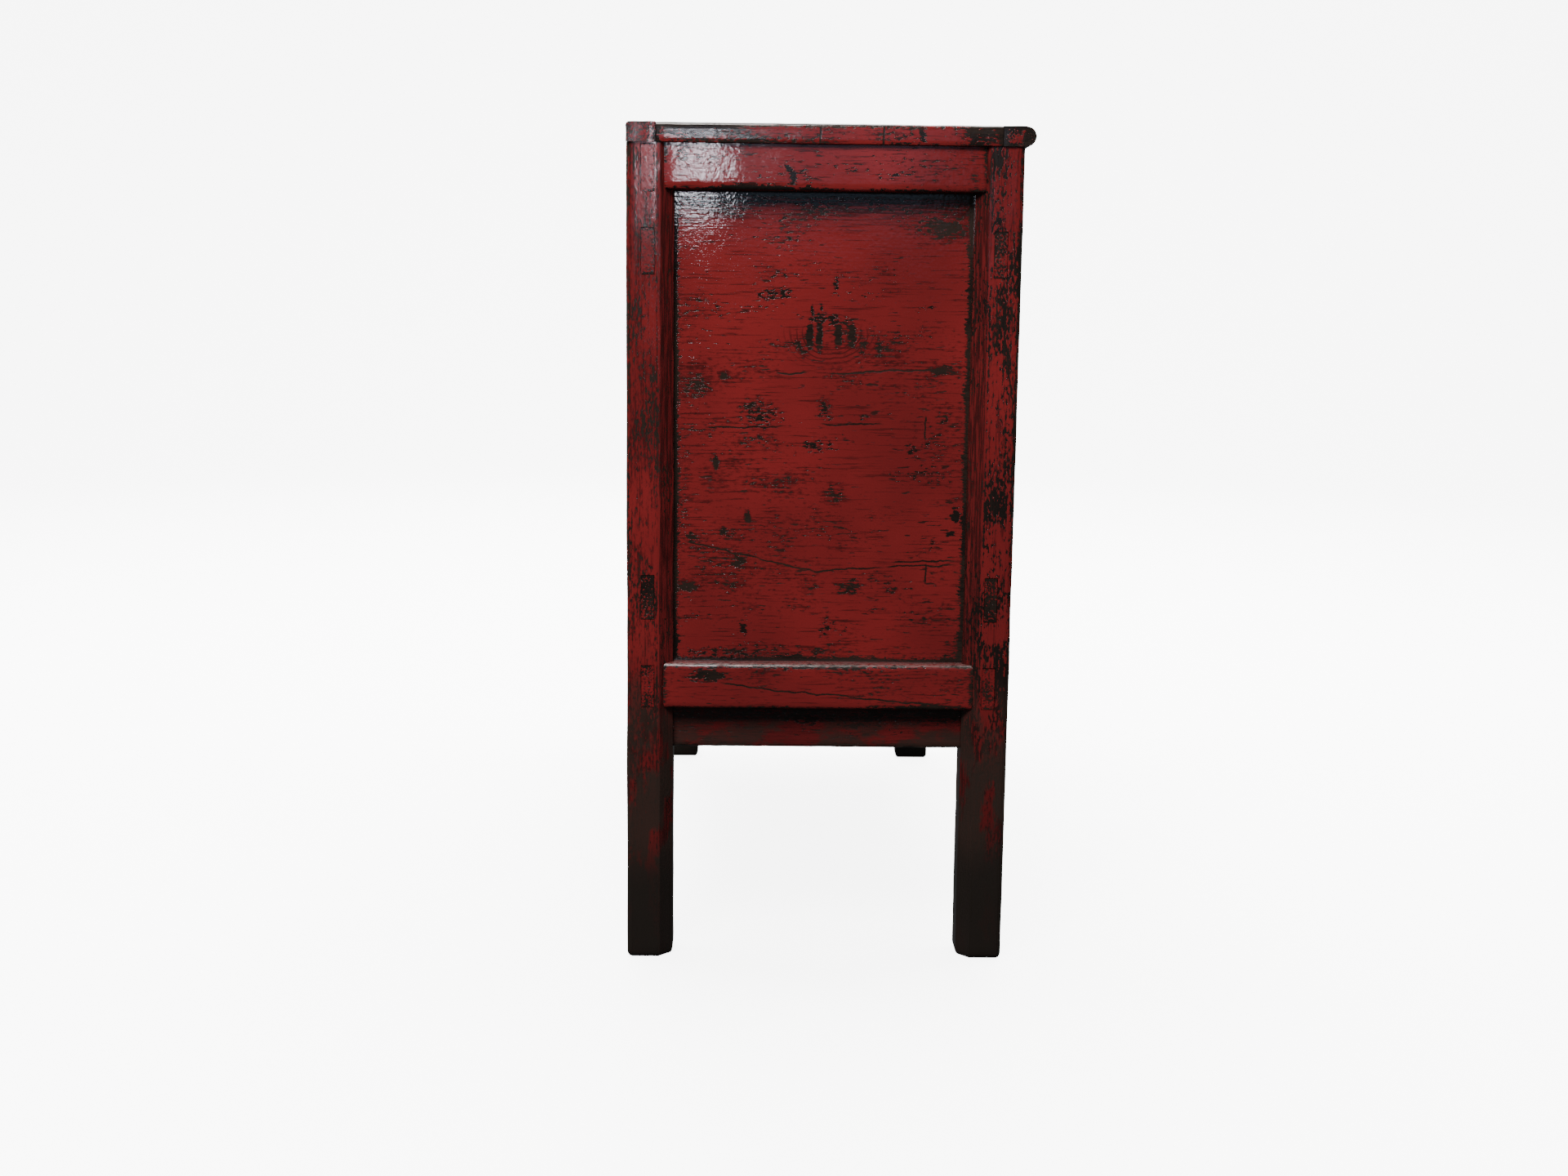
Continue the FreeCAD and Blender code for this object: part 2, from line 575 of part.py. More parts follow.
def drawer_runners():
    """Two runners with a guide along the case's ends, and one in the middle with a guide on top."""
    bearer_y = (FRONT_RAIL_BACK, BACK_RAIL_FRONT)
    tenon_y = grown(bearer_y, RUNNER_TENON_LONG)
    left_x, middle_x, _ = RUNNER_X
    guide_x = (INNER_X - GUIDE_THICK, INNER_X)
    guide_y = grown(ACROSS_CASE, -GROOVE_SLACK)
    left = joined(block(left_x, bearer_y, RUNNER_Z), block(left_x, tenon_y, RUNNER_TENON_Z),
                  block(guide_x, guide_y, GUIDE_Z))
    middle_guide = block(DIVIDER_X, (FRONT_RAIL_BACK, BACK_RAIL_FRONT), GUIDE_Z)
    middle = joined(block(middle_x, bearer_y, RUNNER_Z), block(middle_x, tenon_y, RUNNER_TENON_Z),
                    middle_guide)
    return Part.makeCompound([left, middle, other_end(left)])


def drawer_divider():
    """The short post between the drawers, tenoned into the drawer rail below and the top's nosing above."""
    body = block(DIVIDER_X, (FACE, FRONT_RAIL_BACK), (DRAWER_RAIL_TOP, UNDER_TOP))
    body = eased(body, LONG_RAIL_ARRIS, dict(x=DIVIDER_X[0], y=FACE), dict(x=DIVIDER_X[1], y=FACE))
    tenon_z = (DRAWER_RAIL_TOP - DIVIDER_TENON_TALL, UNDER_TOP + DIVIDER_TENON_TALL)
    return joined(body, block(DIVIDER_TENON_X, DIVIDER_TENON_Y, tenon_z))


# Top

TOP_X = (TOP_END, -TOP_END)
TOP_Z = (UNDER_TOP, HEIGHT)
END_CAP_INNER = TOP_END + END_CAP_WIDE
TOP_FIELD_X = (END_CAP_INNER, -END_CAP_INNER)
TOP_FIELD_Y = (NOSING_BACK, TOP_BACK_FRONT)
TOP_TONGUE_Z = (TOP_BOARD_UNDER, TOP_BOARD_UNDER + TOP_TONGUE_THICK)
END_CAP_TENON_X = (TOP_END + END_CAP_TENON_INSET, TOP_END + END_CAP_TENON_INSET + END_CAP_TENON_WIDE)
END_CAP_TENON_Z = ((UNDER_TOP + HEIGHT - END_CAP_TENON_THICK) / 2,
                   (UNDER_TOP + HEIGHT + END_CAP_TENON_THICK) / 2)
TOP_TONGUE_REACH = TOP_TONGUE_LONG - GROOVE_SLACK


def top_tongue_groove():
    """The groove round the top's frame that takes the boards' tongues."""
    return block(grown(TOP_FIELD_X, TOP_TONGUE_LONG), grown(TOP_FIELD_Y, TOP_TONGUE_LONG),
                 grown(TOP_TONGUE_Z, JOINT_GAP))


def end_cap_mortises():
    slot = block(grown(END_CAP_TENON_X, JOINT_GAP), grown(TOP_FIELD_Y, END_CAP_TENON_LONG + JOINT_GAP),
                 grown(END_CAP_TENON_Z, JOINT_GAP))
    return [slot, other_end(slot)]


def top_front_nosing():
    """The front of the top: a full bullnose that stands out past the posts."""
    y_front = FRONT - TOP_FRONT_OVERHANG
    radius = TOP_THICK / 2
    centre_y, centre_z = y_front + radius, UNDER_TOP + radius
    low, high = Vector(TOP_END, centre_y, UNDER_TOP), Vector(TOP_END, centre_y, HEIGHT)
    nose = Part.Arc(high, Vector(TOP_END, y_front, centre_z), low).toShape()
    back_low, back_high = Vector(TOP_END, NOSING_BACK, UNDER_TOP), Vector(TOP_END, NOSING_BACK, HEIGHT)
    section = Part.Wire([nose, Part.makeLine(low, back_low), Part.makeLine(back_low, back_high),
                         Part.makeLine(back_high, high)])
    rail = Part.Face(section).extrude(Vector(-2 * TOP_END, 0, 0))
    divider_slot = block(grown(DIVIDER_TENON_X, JOINT_GAP), grown(DIVIDER_TENON_Y, JOINT_GAP),
                         (UNDER_TOP, UNDER_TOP + DIVIDER_TENON_TALL + JOINT_GAP))
    return without(rail, top_tongue_groove(), divider_slot, *end_cap_mortises())


def top_back_rail():
    rail = block(TOP_X, (TOP_BACK_FRONT, BACK), TOP_Z)
    rail = eased(rail, TOP_BACK_ARRIS, dict(y=BACK, z=HEIGHT))
    return without(rail, top_tongue_groove(), *end_cap_mortises())


def top_end_cap():
    """The left end of the top, between nosing and back rail, standing on the posts' tenons."""
    cap = block((TOP_END, END_CAP_INNER), TOP_FIELD_Y, TOP_Z)
    cap = eased(cap, END_CAP_ARRIS, dict(x=TOP_END, z=HEIGHT))
    cap = eased(cap, END_CAP_UNDER_ARRIS, dict(x=TOP_END, z=UNDER_TOP))
    tenon = block(END_CAP_TENON_X, grown(TOP_FIELD_Y, END_CAP_TENON_LONG), END_CAP_TENON_Z)
    return without(joined(cap, tenon), top_tongue_groove(),
                   post_tenon(INNER_FRONT, -1, JOINT_GAP), post_tenon(INNER_BACK, 1, JOINT_GAP))


def batten(x_middle, gap=0.0):
    """A dovetailed batten let into the underside of the top's boards."""
    half_foot = BATTEN_WIDE / 2 + gap
    half_head = half_foot + BATTEN_FLARE
    z_head = TOP_BOARD_UNDER + TOP_TONGUE_THICK + gap
    y = grown(TOP_FIELD_Y, -GROOVE_SLACK + gap)
    section = [Vector(x_middle + x, y[0], z) for x, z in (
        (-half_foot, UNDER_TOP), (half_foot, UNDER_TOP), (half_foot, TOP_BOARD_UNDER),
        (half_head, z_head), (-half_head, z_head), (-half_foot, TOP_BOARD_UNDER))]
    return extruded(section, Vector(0, y[1] - y[0], 0))


def top_boards():
    """Two boards side by side, flush with the frame, with a tongue round their outer edges."""
    middle = (TOP_FIELD_Y[0] + TOP_FIELD_Y[1]) / 2
    field = block(grown(TOP_FIELD_X, -JOINT_GAP), grown(TOP_FIELD_Y, -JOINT_GAP), (TOP_BOARD_UNDER, HEIGHT))
    tongue = block(grown(TOP_FIELD_X, TOP_TONGUE_REACH), grown(TOP_FIELD_Y, TOP_TONGUE_REACH), TOP_TONGUE_Z)
    whole = without(joined(field, tongue), batten(-BATTEN_FROM_MIDDLE, JOINT_GAP),
                    batten(BATTEN_FROM_MIDDLE, JOINT_GAP))
    boards = []
    for y in ((FRONT - CASE_DEPTH, middle - BOARD_GAP / 2), (middle + BOARD_GAP / 2, BACK + CASE_DEPTH)):
        boards.append(whole.common(block(TOP_X, y, TOP_Z)).Solids[0])
    return Part.makeCompound(boards)


def top_battens():
    return Part.makeCompound([batten(-BATTEN_FROM_MIDDLE), batten(BATTEN_FROM_MIDDLE)])


# Drawers: modelled at the left and mirrored

DRAWER_X = (INNER_X + DRAWER_GAP, DIVIDER_X[0] - DRAWER_GAP)
DRAWER_FRONT_Y = (FACE, FACE + DRAWER_FRONT_THICK)
DRAWER_FRONT_Z = (DRAWER_RAIL_TOP + DRAWER_GAP, UNDER_TOP - DRAWER_GAP)
DRAWER_END = BACK_RAIL_FRONT - DRAWER_STOP_GAP
DRAWER_BACK_Y = (DRAWER_END - DRAWER_BACK_THICK, DRAWER_END)
DRAWER_SIDE_Z = (DRAWER_RAIL_TOP + DRAWER_RIDE, UNDER_TOP - DRAWER_HEADROOM)
DRAWER_BOTTOM_Z = (DRAWER_SIDE_Z[0] + DRAWER_BOTTOM_LIFT,
                   DRAWER_SIDE_Z[0] + DRAWER_BOTTOM_LIFT + DRAWER_BOTTOM_THICK)
DRAWER_BACK_Z = (DRAWER_BOTTOM_Z[1], DRAWER_SIDE_Z[1])
DRAWER_INSIDE_X = grown(DRAWER_X, -DRAWER_SIDE_THICK)


def tail(x, y_root, y_tip, z_middle, gap=0.0):
    """One dovetail on the end of a drawer side, wider at its tip than at its root."""
    root, tip = TAIL_ROOT_TALL / 2 + gap, TAIL_TIP_TALL / 2 + gap
    points = [Vector(x[0], y, z_middle + z) for y, z in (
        (y_root, -root), (y_tip, -tip), (y_tip, tip), (y_root, root))]
    return extruded(points, Vector(x[1] - x[0], 0, 0))


def tail_middles():
    """Heights of the dovetails, evenly spread over the drawer's back."""
    pitch = (DRAWER_BACK_Z[1] - DRAWER_BACK_Z[0]) / TAIL_COUNT
    return [DRAWER_BACK_Z[0] + (i + 0.5) * pitch for i in range(TAIL_COUNT)]


def drawer_tails(x, gap=0.0):
    """All the dovetails of one drawer side, at its front and at its back."""
    front_tip = DRAWER_FRONT_Y[0] + TAIL_LAP - gap
    shapes = []
    for z in tail_middles():
        shapes.append(tail(grown(x, gap), DRAWER_FRONT_Y[1], front_tip, z, gap))
        shapes.append(tail(grown(x, gap), DRAWER_BACK_Y[0], DRAWER_BACK_Y[1] + gap, z, gap))
    return shapes


def drawer_bottom_groove():
    return block(grown(DRAWER_INSIDE_X, DRAWER_GROOVE_DEEP),
                 (DRAWER_FRONT_Y[1] - DRAWER_GROOVE_DEEP, DRAWER_END + CUT_PAST),
                 grown(DRAWER_BOTTOM_Z, JOINT_GAP))


LEFT_SIDE_X = (DRAWER_X[0], DRAWER_INSIDE_X[0])
RIGHT_SIDE_X = (DRAWER_INSIDE_X[1], DRAWER_X[1])


def drawer_front():
    board = block(DRAWER_X, DRAWER_FRONT_Y, DRAWER_FRONT_Z)
    edges = [dict(y=FACE, x=x) for x in DRAWER_X] + [dict(y=FACE, z=z) for z in DRAWER_FRONT_Z]
    board = eased(board, DRAWER_FRONT_ARRIS, *edges)
    sockets = drawer_tails(LEFT_SIDE_X, JOINT_GAP) + drawer_tails(RIGHT_SIDE_X, JOINT_GAP)
    return without(board, drawer_bottom_groove(), *sockets)


def drawer_side(x):
    board = block(x, (DRAWER_FRONT_Y[1], DRAWER_BACK_Y[0]), DRAWER_SIDE_Z)
    board = joined(board, block(x, DRAWER_BACK_Y, (DRAWER_SIDE_Z[0], DRAWER_BACK_Z[0])))
    return without(joined(board, *drawer_tails(x)), drawer_bottom_groove())


def drawer_back():
    board = block(DRAWER_X, DRAWER_BACK_Y, (DRAWER_BACK_Z[0] + JOINT_GAP, DRAWER_BACK_Z[1]))
    return without(board, *drawer_tails(LEFT_SIDE_X, JOINT_GAP), *drawer_tails(RIGHT_SIDE_X, JOINT_GAP))


def drawer_bottom():
    reach = DRAWER_GROOVE_DEEP - GROOVE_SLACK
    return block(grown(DRAWER_INSIDE_X, reach), (DRAWER_FRONT_Y[1] - reach, DRAWER_END), DRAWER_BOTTOM_Z)


# Doors: the left one is modelled and mirrored

DOOR_Y = (FACE, FACE + DOOR_THICK)
DOOR_Z = (SILL_TOP + DOOR_GAP, DRAWER_RAIL_BOTTOM - DOOR_GAP)
DOOR_MEETING_X = -DOOR_MEETING_GAP / 2
DOOR_TENON_Y = grown(DOOR_Y, -(DOOR_THICK - DOOR_TENON_THICK) / 2)
DOOR_PANEL_Y = (FACE + DOOR_PANEL_RECESS, FACE + DOOR_PANEL_RECESS + DOOR_PANEL_THICK)
DOOR_FIELD_X = (INNER_X + DOOR_GAP + DOOR_STILE_WIDE, DOOR_MEETING_X - DOOR_STILE_WIDE)
DOOR_FIELD_Z = grown(DOOR_Z, -DOOR_RAIL_TALL)
DOOR_RAIL_LEVELS = {
    "top": (DOOR_FIELD_Z[1], DOOR_Z[1]),
    "bottom": (DOOR_Z[0], DOOR_FIELD_Z[0]),
}


def door_panel_groove():
    return block(grown(DOOR_FIELD_X, DOOR_PANEL_GROOVE), grown(DOOR_PANEL_Y, JOINT_GAP),
                 grown(DOOR_FIELD_Z, DOOR_PANEL_GROOVE))


def door_tenon(level, gap=0.0):
    """The tenons at both ends of a door rail, in one length."""
    z = grown(DOOR_RAIL_LEVELS[level], -DOOR_TENON_SHOULDER)
    return block(grown(DOOR_FIELD_X, DOOR_TENON_LONG + gap), grown(DOOR_TENON_Y, gap), grown(z, gap))


def door_hinge_stile():
    """The outer stile, round about the axis it turns on, with a pivot standing on each end."""
    x, y = pivot_axis()
    radius = DOOR_THICK / 2
    z = DOOR_Z[0]
    front, rear = Vector(x, DOOR_Y[0], z), Vector(x, DOOR_Y[1], z)
    front_in, rear_in = Vector(DOOR_FIELD_X[0], DOOR_Y[0], z), Vector(DOOR_FIELD_X[0], DOOR_Y[1], z)
    round_edge = Part.Arc(rear, Vector(x - radius, y, z), front).toShape()
    outline = Part.Wire([round_edge, Part.makeLine(front, front_in), Part.makeLine(front_in, rear_in),
                         Part.makeLine(rear_in, rear)])
    stile = Part.Face(outline).extrude(Vector(0, 0, DOOR_Z[1] - DOOR_Z[0]))
    stile = eased(stile, DOOR_ARRIS, dict(x=DOOR_FIELD_X[0], y=FACE))
    stile = without(stile, door_panel_groove(), door_tenon("top", JOINT_GAP), door_tenon("bottom", JOINT_GAP))
    top_pivot = Part.makeCylinder(PIVOT_RADIUS, TOP_PIVOT_LONG, Vector(x, y, DOOR_Z[1]))
    bottom_pivot = Part.makeCylinder(PIVOT_RADIUS, BOTTOM_PIVOT_LONG, Vector(x, y, z - BOTTOM_PIVOT_LONG))
    return joined(stile, top_pivot, bottom_pivot)


def door_meeting_stile():
    stile = block((DOOR_FIELD_X[1], DOOR_MEETING_X), DOOR_Y, DOOR_Z)
    stile = eased(stile, DOOR_ARRIS, dict(x=DOOR_FIELD_X[1], y=FACE), dict(x=DOOR_MEETING_X, y=FACE))
    return without(stile, door_panel_groove(), door_tenon("top", JOINT_GAP), door_tenon("bottom", JOINT_GAP))


def door_rail(level):
    z = DOOR_RAIL_LEVELS[level]
    inner_z = DOOR_FIELD_Z[1] if level == "top" else DOOR_FIELD_Z[0]
    rail = eased(block(DOOR_FIELD_X, DOOR_Y, z), DOOR_ARRIS, dict(y=FACE, z=inner_z))
    return without(joined(rail, door_tenon(level)), door_panel_groove())


def door_panel():
    reach = DOOR_PANEL_GROOVE - GROOVE_SLACK
    return block(grown(DOOR_FIELD_X, reach), DOOR_PANEL_Y, grown(DOOR_FIELD_Z, reach))


# Brass pulls

PULL_AXIS_Y = FACE - PLATE_THICK - STAPLE_REACH
DRAWER_PULL_X = (DRAWER_X[0] + DRAWER_X[1]) / 2
DRAWER_PULL_Z = (DRAWER_FRONT_Z[0] + DRAWER_FRONT_Z[1]) / 2
DOOR_PULL_X = DOOR_MEETING_X - DOOR_PULL_FROM_EDGE
DOOR_PULL_Z = (DOOR_Z[0] + DOOR_Z[1]) / 2


def staple(x, z):
    """Two square legs out of the plate and the thinner round bar between them that the drop hangs on."""
    half, leg = STAPLE_SPAN / 2, STAPLE_LEG_WIDE / 2
    parts = [Part.makeCylinder(STAPLE_RADIUS, STAPLE_SPAN, Vector(x - half, PULL_AXIS_Y, z), Vector(1, 0, 0))]
    leg_y = (PULL_AXIS_Y - leg, FACE - PLATE_THICK / 2)
    for middle in (x - half, x + half):
        parts.append(block((middle - leg, middle + leg), leg_y, (z - leg, z + leg)))
    return joined(*parts)


def drawer_plate():
    """A round rosette with a low boss under the staple."""
    centre = Vector(DRAWER_PULL_X, FACE, DRAWER_PULL_Z)
    disc = Part.makeCylinder(ROSETTE_RADIUS, PLATE_THICK, centre, Vector(0, -1, 0))
    boss = Part.makeCylinder(ROSETTE_BOSS_RADIUS, PLATE_THICK + ROSETTE_BOSS_TALL, centre, Vector(0, -1, 0))
    return joined(disc, boss, staple(DRAWER_PULL_X, DRAWER_PULL_Z))


def door_plate():
    """Half of a round plate that spans the meeting stiles: each door carries one half."""
    disc = Part.makeCylinder(DOOR_PLATE_RADIUS, PLATE_THICK, Vector(DOOR_MEETING_X, FACE, DOOR_PULL_Z),
                             Vector(0, -1, 0))
    reach = DOOR_PLATE_RADIUS + CUT_PAST
    half_x = (DOOR_MEETING_X - reach, DOOR_MEETING_X)
    half_z = (DOOR_PULL_Z - reach, DOOR_PULL_Z + reach)
    half = disc.common(block(half_x, (FACE - PLATE_THICK, FACE), half_z))
    return joined(half, staple(DOOR_PULL_X, DOOR_PULL_Z))


def faceted(x, y, levels):
    """An upright solid with flat sides between regular polygons, given as (radius, z) from the bottom up."""
    turns = [2 * math.pi * i / DROP_SIDES for i in range(DROP_SIDES)]
    rings = [[Vector(x + radius * math.cos(t), y + radius * math.sin(t), z) for t in turns]
             for radius, z in levels]
    outlines = [rings[0], rings[-1]]
    for low, high in zip(rings, rings[1:]):
        for i in range(DROP_SIDES):
            outlines.append([low[i - 1], low[i], high[i], high[i - 1]])
    faces = [Part.Face(Part.makePolygon(points + points[:1])) for points in outlines]
    return Part.makeSolid(Part.makeShell(faces))


def drop(x, z):
    """A flat-sided drop: an eye round the staple's bar, a slim neck, and a bulb that tapers to its tip."""
    y = PULL_AXIS_Y
    eye = Part.makeCylinder(EYE_RADIUS, EYE_LONG, Vector(x - EYE_LONG / 2, y, z), Vector(1, 0, 0))
    tip = z - DROP_LONG
    belt = tip + DROP_TIP_TALL + DROP_BELT_TALL
    body = faceted(x, y, [(DROP_TIP_RADIUS, tip), (DROP_BULB_RADIUS, tip + DROP_TIP_TALL),
                          (DROP_BULB_RADIUS, belt), (DROP_NECK_RADIUS, belt + DROP_SHOULDER_TALL),
                          (DROP_NECK_RADIUS, z)])
    bore = Part.makeCylinder(STAPLE_RADIUS + EYE_CLEARANCE, 2 * EYE_LONG, Vector(x - EYE_LONG, y, z),
                             Vector(1, 0, 0))
    return without(joined(eye, body), bore)


# Every node by name, and the file each is written to

def end_pieces():
    """Pieces at both ends, made at the left and mirrored."""
    made = {
        "post_front": front_post(),
        "post_back": back_post(),
        "side_top_rail": side_top_rail(),
        "side_panel": side_panel(),
        "side_bottom_rail": side_bottom_rail(),
        "side_apron": side_apron(),
        "top_end_cap": top_end_cap(),
        "drawer_front": drawer_front(),
        "drawer_outer_side": drawer_side(LEFT_SIDE_X),
        "drawer_inner_side": drawer_side(RIGHT_SIDE_X),
        "drawer_back": drawer_back(),
        "drawer_bottom": drawer_bottom(),
        "drawer_plate": drawer_plate(),
        "drawer_pull": drop(DRAWER_PULL_X, DRAWER_PULL_Z),
        "door_hinge_stile": door_hinge_stile(),
        "door_meeting_stile": door_meeting_stile(),
        "door_top_rail": door_rail("top"),
        "door_bottom_rail": door_rail("bottom"),
        "door_panel": door_panel(),
        "door_plate": door_plate(),
        "door_pull": drop(DOOR_PULL_X, DOOR_PULL_Z),
    }
    for name, shape in made.items():
        yield name + "_left", shape
        yield name + "_right", other_end(shape)


def middle_pieces():
    """Pieces that run the whole length or stand in the middle."""
    narrow_panels = [back_panel("upper"), back_panel("lower")]
    return {
        "top_front_nosing": top_front_nosing(),
        "top_back_rail": top_back_rail(),
        "top_boards": top_boards(),
        "top_battens": top_battens(),
        "front_drawer_rail": front_drawer_rail(),
        "front_sill_rail": front_sill_rail(),
        "front_waist_panel": front_waist_panel(),
        "front_bottom_rail": front_bottom_rail(),
        "front_apron": front_apron(),
        "drawer_divider": drawer_divider(),
        "drawer_runners": drawer_runners(),
        "floor_boards": floor_boards(),
        "back_top_rail": back_top_rail(),
        "back_drawer_rail": back_drawer_rail(),
        "back_sill_rail": back_sill_rail(),
        "back_bottom_rail": back_bottom_rail(),
        "back_main_panel": back_panel("main"),
        "back_narrow_panels": Part.makeCompound(narrow_panels),
    }


def main():
    os.makedirs("parts", exist_ok=True)
    pieces = middle_pieces()
    pieces.update(end_pieces())
    for name, shape in pieces.items():
        shape.exportStep(os.path.join("parts", name + ".step"))
    print(len(pieces), "nodes written")


main()
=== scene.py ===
# %% [markdown]
# A worn red-lacquer sideboard
#
# The construction is already fixed: posts, rails, panels, drawers and doors stand at their real size. This
# lesson dresses it: timbers are modelled again with the uneven faces and rubbed edges of years of use, and
# get a lacquer built from noise, grain and wear. Loading comes first, because it gives every later step its
# places.

# %% Load the construction
import contextlib
import math

import bpy
import numpy as np
from mathutils import Matrix, Vector


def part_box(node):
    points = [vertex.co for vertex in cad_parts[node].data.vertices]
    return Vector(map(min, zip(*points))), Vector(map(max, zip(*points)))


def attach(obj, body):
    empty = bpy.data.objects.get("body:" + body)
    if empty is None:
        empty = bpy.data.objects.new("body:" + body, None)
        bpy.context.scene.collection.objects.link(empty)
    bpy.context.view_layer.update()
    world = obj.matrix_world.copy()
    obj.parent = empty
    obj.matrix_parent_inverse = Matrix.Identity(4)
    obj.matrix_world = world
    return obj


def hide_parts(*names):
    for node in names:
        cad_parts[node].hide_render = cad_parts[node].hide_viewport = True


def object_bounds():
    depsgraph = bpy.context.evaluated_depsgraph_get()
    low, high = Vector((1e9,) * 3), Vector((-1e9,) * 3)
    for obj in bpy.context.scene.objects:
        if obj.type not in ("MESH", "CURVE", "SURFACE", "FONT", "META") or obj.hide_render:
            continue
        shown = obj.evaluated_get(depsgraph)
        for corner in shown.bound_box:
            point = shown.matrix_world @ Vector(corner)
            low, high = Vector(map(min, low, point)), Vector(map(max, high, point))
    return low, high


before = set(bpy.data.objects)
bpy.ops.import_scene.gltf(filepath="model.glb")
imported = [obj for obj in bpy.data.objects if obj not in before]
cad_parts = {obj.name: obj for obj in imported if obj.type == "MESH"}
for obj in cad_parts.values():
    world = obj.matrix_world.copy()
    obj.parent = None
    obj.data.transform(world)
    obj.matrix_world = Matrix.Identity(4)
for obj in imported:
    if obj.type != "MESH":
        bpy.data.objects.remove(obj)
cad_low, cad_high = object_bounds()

print("construction box", [round(v, 4) for v in cad_low], [round(v, 4) for v in cad_high])

# %% [markdown]
# Choosing parts of a mesh
#
# By hand you click the edges that you want to bevel. In a script they are chosen by where they lie: a test
# looks at the two ends of every edge and says yes or no. Everything is deselected first, because an operator
# acts on all that is selected.

# %% Choose edges or points by their place
X, Y, Z = 0, 1, 2
MM = 0.001
SAME_PLACE = 0.1 * MM
STRAIGHT = 0.99


def hold(piece):
    """Make one piece the only selected and active object."""
    bpy.ops.object.select_all(action="DESELECT")
    piece.select_set(True)
    bpy.context.view_layer.objects.active = piece


def points_of(piece):
    """The places of all points of a mesh, one row each."""
    flat = np.empty(len(piece.data.vertices) * 3, np.float32)
    piece.data.vertices.foreach_get("co", flat)
    return flat.reshape(-1, 3).astype(float)


@contextlib.contextmanager
def chosen(piece, kind, test):
    """Edit mode for a while, with only the points or edges selected that pass a test."""
    hold(piece)
    bpy.context.tool_settings.mesh_select_mode = (kind == "POINT", kind == "EDGE", False)
    mesh, points = piece.data, points_of(piece)
    for group in (mesh.vertices, mesh.edges, mesh.polygons):
        group.foreach_set("select", np.zeros(len(group), bool))
    if kind == "POINT":
        mesh.vertices.foreach_set("select", test(points))
    else:
        ends = np.empty(len(mesh.edges) * 2, np.int32)
        mesh.edges.foreach_get("vertices", ends)
        mesh.edges.foreach_set("select", test(points[ends[::2]], points[ends[1::2]]))
    bpy.ops.object.mode_set(mode="EDIT")
    yield
    bpy.ops.object.mode_set(mode="OBJECT")


def along(axis, **at):
    """A test for straight edges that run along an axis, at given coordinates across it."""
    def test(a, b):
        run = np.abs(b - a)
        passed = run[:, axis] > STRAIGHT * run.sum(axis=1)
        for letter, place in at.items():
            passed &= np.abs(a[:, "xyz".index(letter)] - place) < SAME_PLACE
        return passed
    return test


# %% [markdown]
# From a cube to a timber
#
# Every timber starts as a cube, stretched to its size where it stands. Its arrises, the long edges, are
# rounded by a bevel, and its faces are cut into a grid of small cells. The grid is what lets a Displace
# modifier leave the slight waves of a hand plane: with only eight corners there would be nothing to push.

# %% Block, bevel and grid
CELL = 5 * MM
WORTH_CUTTING = 1.6


def block(name, low, high):
    """A cube stretched between two corners, with its place in its mesh."""
    low, high = Vector(low), Vector(high)
    bpy.ops.mesh.primitive_cube_add(size=1)
    piece = bpy.context.object
    piece.name = piece.data.name = name
    bpy.ops.object.mode_set(mode="EDIT")
    bpy.ops.mesh.select_all(action="SELECT")
    bpy.ops.transform.resize(value=high - low, center_override=(0, 0, 0))
    bpy.ops.transform.translate(value=(low + high) / 2)
    bpy.ops.object.mode_set(mode="OBJECT")
    return piece


def bevel(piece, test, width, segments):
    """Round, or with one segment chamfer, the edges that pass a test."""
    with chosen(piece, "EDGE", test):
        bpy.ops.mesh.bevel(offset=width, segments=segments, affect="EDGES")


def grid(piece, axes, cell=CELL):
    """Cut the edges along each axis into lengths of about one cell."""
    for axis in axes:
        straight = along(axis)
        longest = []

        def uncut(a, b):
            run = np.abs(b - a)[:, axis]
            passed = straight(a, b) & (run > WORTH_CUTTING * cell)
            longest.append(run[passed].max() if passed.any() else 0)
            return passed

        with chosen(piece, "EDGE", uncut):
            if longest[0]:
                bpy.ops.mesh.subdivide(number_cuts=max(1, round(longest[0] / cell) - 1))


# %% [markdown]
# Marks of the plane
#
# No old timber is flat. A Displace modifier moves the points by a cloud texture: in and out for the waves of
# the plane, or only inwards where an edge is rubbed away. It is applied at once, because the next step
# measures the points where they really are.

# %% Uneven faces
def apply(piece, change):
    """Turn a modifier's result into the mesh itself."""
    hold(piece)
    bpy.ops.object.modifier_apply(modifier=change.name)


def hewn(piece, depth, size, inward_at=None):
    """Push a mesh in and out by clouds of a size, or only wear in the points of a named group."""
    clouds = bpy.data.textures.new("hewn_clouds", "CLOUDS")
    clouds.noise_scale = size
    clouds.noise_depth = 2
    change = piece.modifiers.new("hewn", "DISPLACE")
    change.texture = clouds
    change.texture_coords = "LOCAL"
    change.strength = depth
    change.mid_level = 0.5
    if inward_at:
        change.strength = -depth
        change.mid_level = 0.3
        change.vertex_group = inward_at
    apply(piece, change)


def planed(piece, waves):
    """Plane marks of several sizes, each given as its depth and its length."""
    for depth, size in waves:
        hewn(piece, depth, size)


# %% [markdown]
# Remembering where the edges are
#
# Lacquer wears through first where hands and feet rub: on the arrises. So that the finish knows how far a
# spot is from the nearest one, each timber carries that distance as an attribute on its points. Three more
# say where it is scarred, where painted shade darkens it, and where it faces up and takes dust and a painted
# sheen.

# %% Attributes and rubbed arrises
def mark(piece, name, values):
    """Store one number for each point of the mesh."""
    layers = piece.data.attributes
    layer = layers.get(name) or layers.new(name, "FLOAT", "POINT")
    layer.data.foreach_set("value", np.asarray(values, np.float32))


def from_box_edges(points, low, high):
    """How far points on the faces of a box lie from its nearest edge."""
    gaps = np.sort(np.minimum(points - np.array(low), np.array(high) - points), axis=1)
    return np.clip(gaps[:, 1], 0, None)


